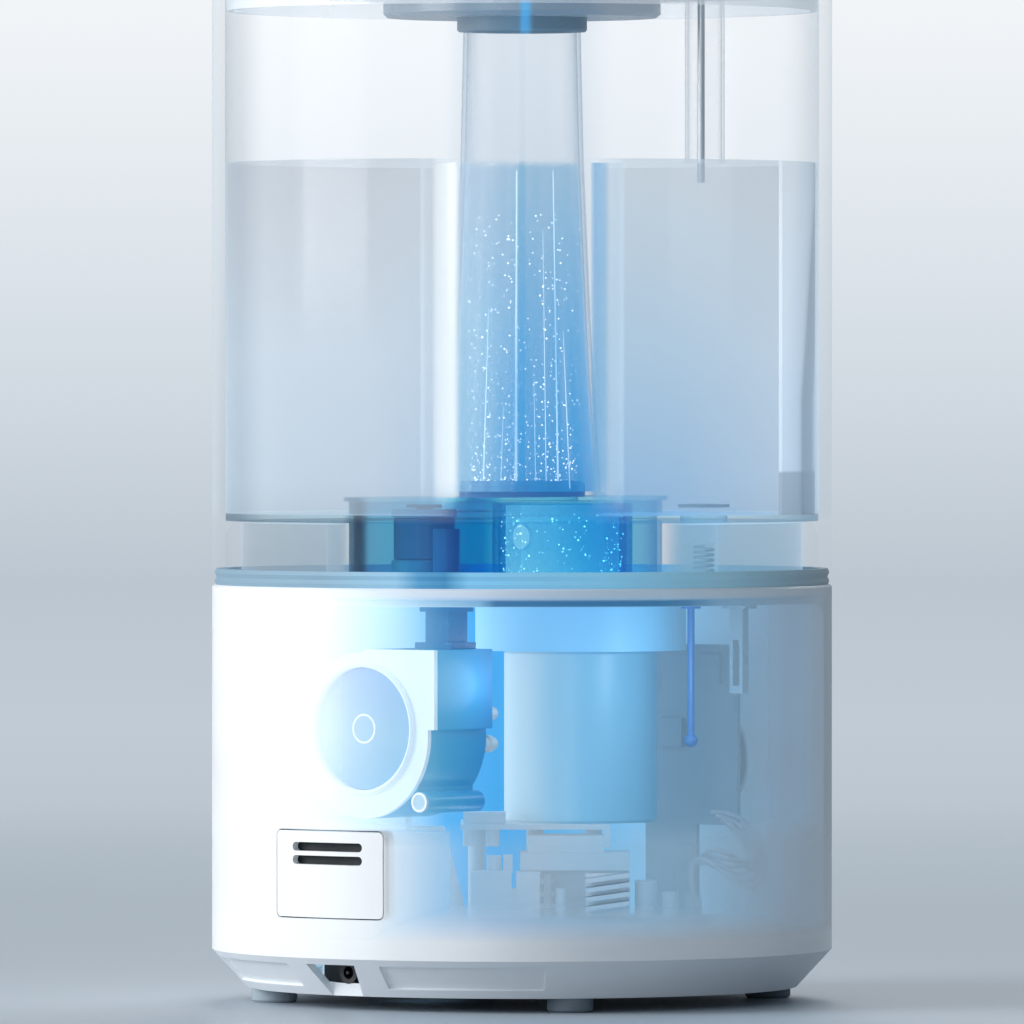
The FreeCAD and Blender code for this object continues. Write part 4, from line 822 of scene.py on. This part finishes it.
# %% Drops
def drops(name, count, spot, look, body, seed, least=0.12, most=0.34):
    """Scatter fine drops, each at the place that spot(rng) returns, as one piece."""
    rng = random.Random(seed)
    bpy.ops.object.select_all(action="DESELECT")
    bpy.ops.mesh.primitive_ico_sphere_add(subdivisions=1, radius=1.0)
    seedling = bpy.context.object
    made = []
    for _ in range(count):
        copy = seedling.copy()
        copy.data = seedling.data.copy()
        bpy.context.scene.collection.objects.link(copy)
        copy.location = spot(rng)
        copy.scale = [rng.uniform(least, most) * MM] * 3
        copy.rotation_euler = [rng.uniform(0, 6.28) for _ in range(3)]
        made.append(copy)
    bpy.data.objects.remove(seedling)
    cloud = join_all(made, name)
    bpy.ops.object.select_all(action="DESELECT")
    cloud.select_set(True)
    bpy.context.view_layer.objects.active = cloud
    apply_place()
    settle(cloud, look, body)
    print(name, len(cloud.data.polygons), "faces")
    return cloud


def in_column(rng):
    """Pick a place in the mist column, more often low down."""
    up = 157 + 84 * rng.random() ** 2.2
    turn, reach = rng.uniform(0, 6.283), 17.8 * rng.random() ** 0.3
    return Vector((reach * math.cos(turn) * MM, reach * math.sin(turn) * MM, up * MM))


def in_well(rng):
    """Pick a place in the mist well, more often near the disc."""
    up = 126.5 + 23 * rng.random() ** 1.5
    turn, reach = rng.uniform(0, 6.283), 18.9 * rng.random() ** 0.12
    return Vector((reach * math.cos(turn) * MM, reach * math.sin(turn) * MM, up * MM)) + Vector(middle)


drop_look = bright("fine_drop", "#F2FAFF", 3.2, 1.0)
drops("column_drops", 620, in_column, drop_look, "tank", 5, 0.12, 0.32)
drops("well_drops", 360, in_well, drop_look, "base", 11, 0.12, 0.36)

# %% [markdown]
# Water bends the light that comes past the chimney, so its wall shows as pale upright bands well
# outside its real edge. Those bands are painted refraction highlights, glowing on a thin clear
# sleeve in the water: a bright one and a fine line on the drawer's side, and a fainter pair on
# the lamp's side.

# %% Painted refraction bands beside the chimney
def banded(name, stops, codes, low, high, glow=1.0):
    """Make clear plastic with painted highlight bands that glow, whose cover runs through (mm across,
    value) stops, on its near half only.
    """
    made, tree = fresh(name)
    where = add(tree, "TexCoord")
    cover = amount_ramp(tree, where, stops)
    shade = across_ramp(tree, where, codes)
    near = add(tree, "VectorMath", [(0, where, "Object")], {1: tuple(TOWARDS)}, operation="DOT_PRODUCT")
    front = add(tree, "MapRange", [("Value", near, "Value")], {"From Min": -0.001, "From Max": 0.001})
    split = add(tree, "SeparateXYZ", [("Vector", where, "Object")])
    fade = add(tree, "MapRange", [("Value", split, "Z")], {"From Min": low * MM, "From Max": high * MM})
    noise = add(tree, "TexNoise", [("Vector", where, "Object")], {"Scale": 40.0, "Detail": 3.0})
    cloud = add(tree, "MapRange", [("Value", noise, "Fac")], {"To Min": 0.8, "To Max": 1.15})
    amount = add(tree, "Math", [(0, cover, "Color"), (1, front, "Result")], operation="MULTIPLY")
    amount = add(tree, "Math", [(0, amount, "Value"), (1, cloud, "Result")], operation="MULTIPLY")
    amount = add(tree, "Math", [(0, amount, "Value"), (1, fade, "Result")], operation="MULTIPLY",
                 use_clamp=True)
    skin = add(tree, "BsdfPrincipled", [("Emission Color", shade, "Color")],
               {"Base Color": colour("#2A3036"), "Roughness": 0.1, "IOR": 1.49, "Emission Strength": glow})
    through = add(tree, "BsdfTransparent")
    mixed = add(tree, "MixShader", [(0, amount, "Value"), (1, through, "BSDF"), (2, skin, "BSDF")])
    add(tree, "OutputMaterial", [("Surface", mixed, "Shader")])
    return made


band_look = banded("chimney_painted_refraction_bands",
                   [(-31.5, 0.0), (-30.6, 0.35), (-29.4, 0.08), (-27.4, 0.1), (-26.2, 0.85), (-21.6, 0.9),
                    (-20.2, 0.55), (-18.4, 0.12), (-17.2, 0.3), (-15.6, 0.05), (20.8, 0.0), (22.0, 0.5),
                    (25.5, 0.42), (27.0, 0.15), (29.2, 0.35), (30.6, 0.5), (31.5, 0.1)],
                   [(-30, "#E4F0F8"), (-26, "#F4FBFE"), (-20.5, "#EEF9FE"), (-18.5, "#7FA9C9"),
                    (-15, "#A9CFEA"),
                    (22, "#4C9ED2"), (25.5, "#5CA6D4"),
                    (27.5, "#B7D3E8"), (31, "#C6DCEC")], 150, 160)
sleeve = lathe("chimney_painted_refraction_bands", [(31.4, 150.2), (31.4, FULL_LINE - 0.2), (31.1, FULL_LINE - 0.2),
                                  (31.1, 150.2)])
settle(sleeve, band_look, "tank")
print("bands beside the chimney")

# %% [markdown]
# The aroma drawer is white on white, so what draws it is the thin dark gap round its panel and
# the dark hollow behind its two slots. Both are painted shadow: a dark frame set deep in the gap
# and a dark sheet behind the slots stand in for the shade there.

# %% Painted shadow in the drawer's seam and behind its slots
def frame_ring(name, low, high, depth_from, depth_to, wall, corner):
    """Make a rounded square frame in the XZ plane between two corners, extruded along Y."""
    width, tall = high[0] - low[0], high[1] - low[1]
    centre = ((low[0] + high[0]) / 2, depth_from, (low[1] + high[1]) / 2)
    bpy.ops.object.select_all(action="DESELECT")
    bpy.ops.mesh.primitive_plane_add(size=1.0, location=centre, rotation=(math.pi / 2, 0, 0))
    ring = bpy.context.object
    ring.name = name
    ring.scale = (width, tall, 1.0)
    apply_place()
    bpy.ops.object.mode_set(mode="EDIT")
    bpy.ops.mesh.select_all(action="SELECT")
    bpy.ops.mesh.bevel(offset=corner, offset_pct=0, segments=5, affect="VERTICES")
    if wall:
        bpy.ops.mesh.select_all(action="SELECT")
        bpy.ops.mesh.inset(thickness=wall, depth=0)
        bpy.ops.mesh.delete(type="FACE")
    bpy.ops.mesh.select_all(action="SELECT")
    bpy.ops.mesh.extrude_region_move(TRANSFORM_OT_translate={"value": (0, depth_to - depth_from, 0)})
    bpy.ops.mesh.select_all(action="SELECT")
    bpy.ops.mesh.normals_make_consistent(inside=False)
    bpy.ops.object.mode_set(mode="OBJECT")
    return ring


seam_painted_shade = moulded("seam_painted_shadow", "#3A434B", 0.8)[0]   # painted shadow, as dark as a deep gap
slot_painted_shade = moulded("slot_painted_shadow", "#101A20", 0.6)[0]     # painted shadow of the hollow behind the slots
GAP = 0.0004   # between the panel and the sleeve, in metres
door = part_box("drawer_panel")
corner_low = (door[0][0], door[0][2])
corner_high = (door[1][0], door[1][2])
seam = frame_ring("drawer_seam", (corner_low[0] - GAP, corner_low[1] - GAP),
                  (corner_high[0] + GAP, corner_high[1] + GAP), 0.0880, 0.0922, GAP - 0.00006, 0.002)
settle(seam, seam_painted_shade, "base")
slot_shadow = frame_ring("slot_shadow_sheet", (-0.0148, 0.0427), (0.0148, 0.0524), 0.0904, 0.0912, 0.0, 0.0008)
settle(slot_shadow, slot_painted_shade, "drawer")
print("drawer panel", [[round(v, 4) for v in c] for c in door])

# %% [markdown]
# The fan's inlet is covered by a fine dust screen, slightly domed, that hides the blades and takes
# the blue light, which is painted on it with a painted glow. A ring of painted highlight rims the
# inlet, another marks the hub, and a third lines the hole of the fan's ear. These rings are thin
# beads that glow as painted highlights.

# %% Fan screen and rings
# Woven nylon: a matt grain, drawn about twice as coarse as the real mesh so that it shows.
screen_look, tree, skin = moulded("dust_screen_nylon", [(-62, "#C2DAE8"), (-52, "#92BDD6"),
                                                        (-40, "#82B2CE"), (-34, "#84B2CE")],
                                  0.5, 0.7, 0.25, 0.24)
# Tint up the screen's height: cyan low down, white in the middle, lilac at the top.
rise = add(tree, "SeparateXYZ", [("Vector", tree.nodes["Texture Coordinate"], "Object")])
level = add(tree, "MapRange", [("Value", rise, "Z")], {"From Min": 0.066, "From Max": 0.104})
warm = ramp(tree, level, "Result", [(0.0, colour("#D3F4FF")), (0.45, colour("#FFFFFF")),
                                    (1.0, colour("#EEE9FF"))])
old = skin.inputs["Base Color"].links[0].from_socket
tinted = add(tree, "VectorMath", [(1, warm, "Color")], operation="MULTIPLY")
tree.links.new(old, tinted.inputs[0])
tree.links.new(tinted.outputs["Vector"], skin.inputs["Base Color"])
tree.links.new(tinted.outputs["Vector"], skin.inputs["Emission Color"])
FAN = (0, 0, 0.0848)
FACE_REAR = (-math.pi / 2, 0, 0)
screen = lathe("inlet_screen", [(18.4, 75.5), (18.4, 75.9), (11, 76.3), (0.001, 76.5), (0.001, 76.1),
                                (11, 75.9)], FAN, 72, FACE_REAR)
settle(screen, screen_look, "base")
ring_highlight_look = bright("painted_ring_highlight", "#F2FBFF", 1.15, 1.0)
# Each ring: inner radius, width, distance from the axis along Y, and its centre's X and Z, in mm.
RINGS = ((18.7, 0.8, 77.1, 0, 84.8), (3.9, 0.6, 76.6, 0, 84.8), (2.3, 0.7, 77.2, -21.9, 63.0))
rings = [lathe("ring", [(r, y), (r + w / 2, y + w / 2), (r + w, y), (r + w / 2, y - w / 2)],
               (x * MM, 0, z * MM), 48, FACE_REAR) for r, w, y, x, z in RINGS]
settle(join_all(rings, "fan_painted_highlight_rings"), ring_highlight_look, "base")
print("fan screen and", len(RINGS), "rings")
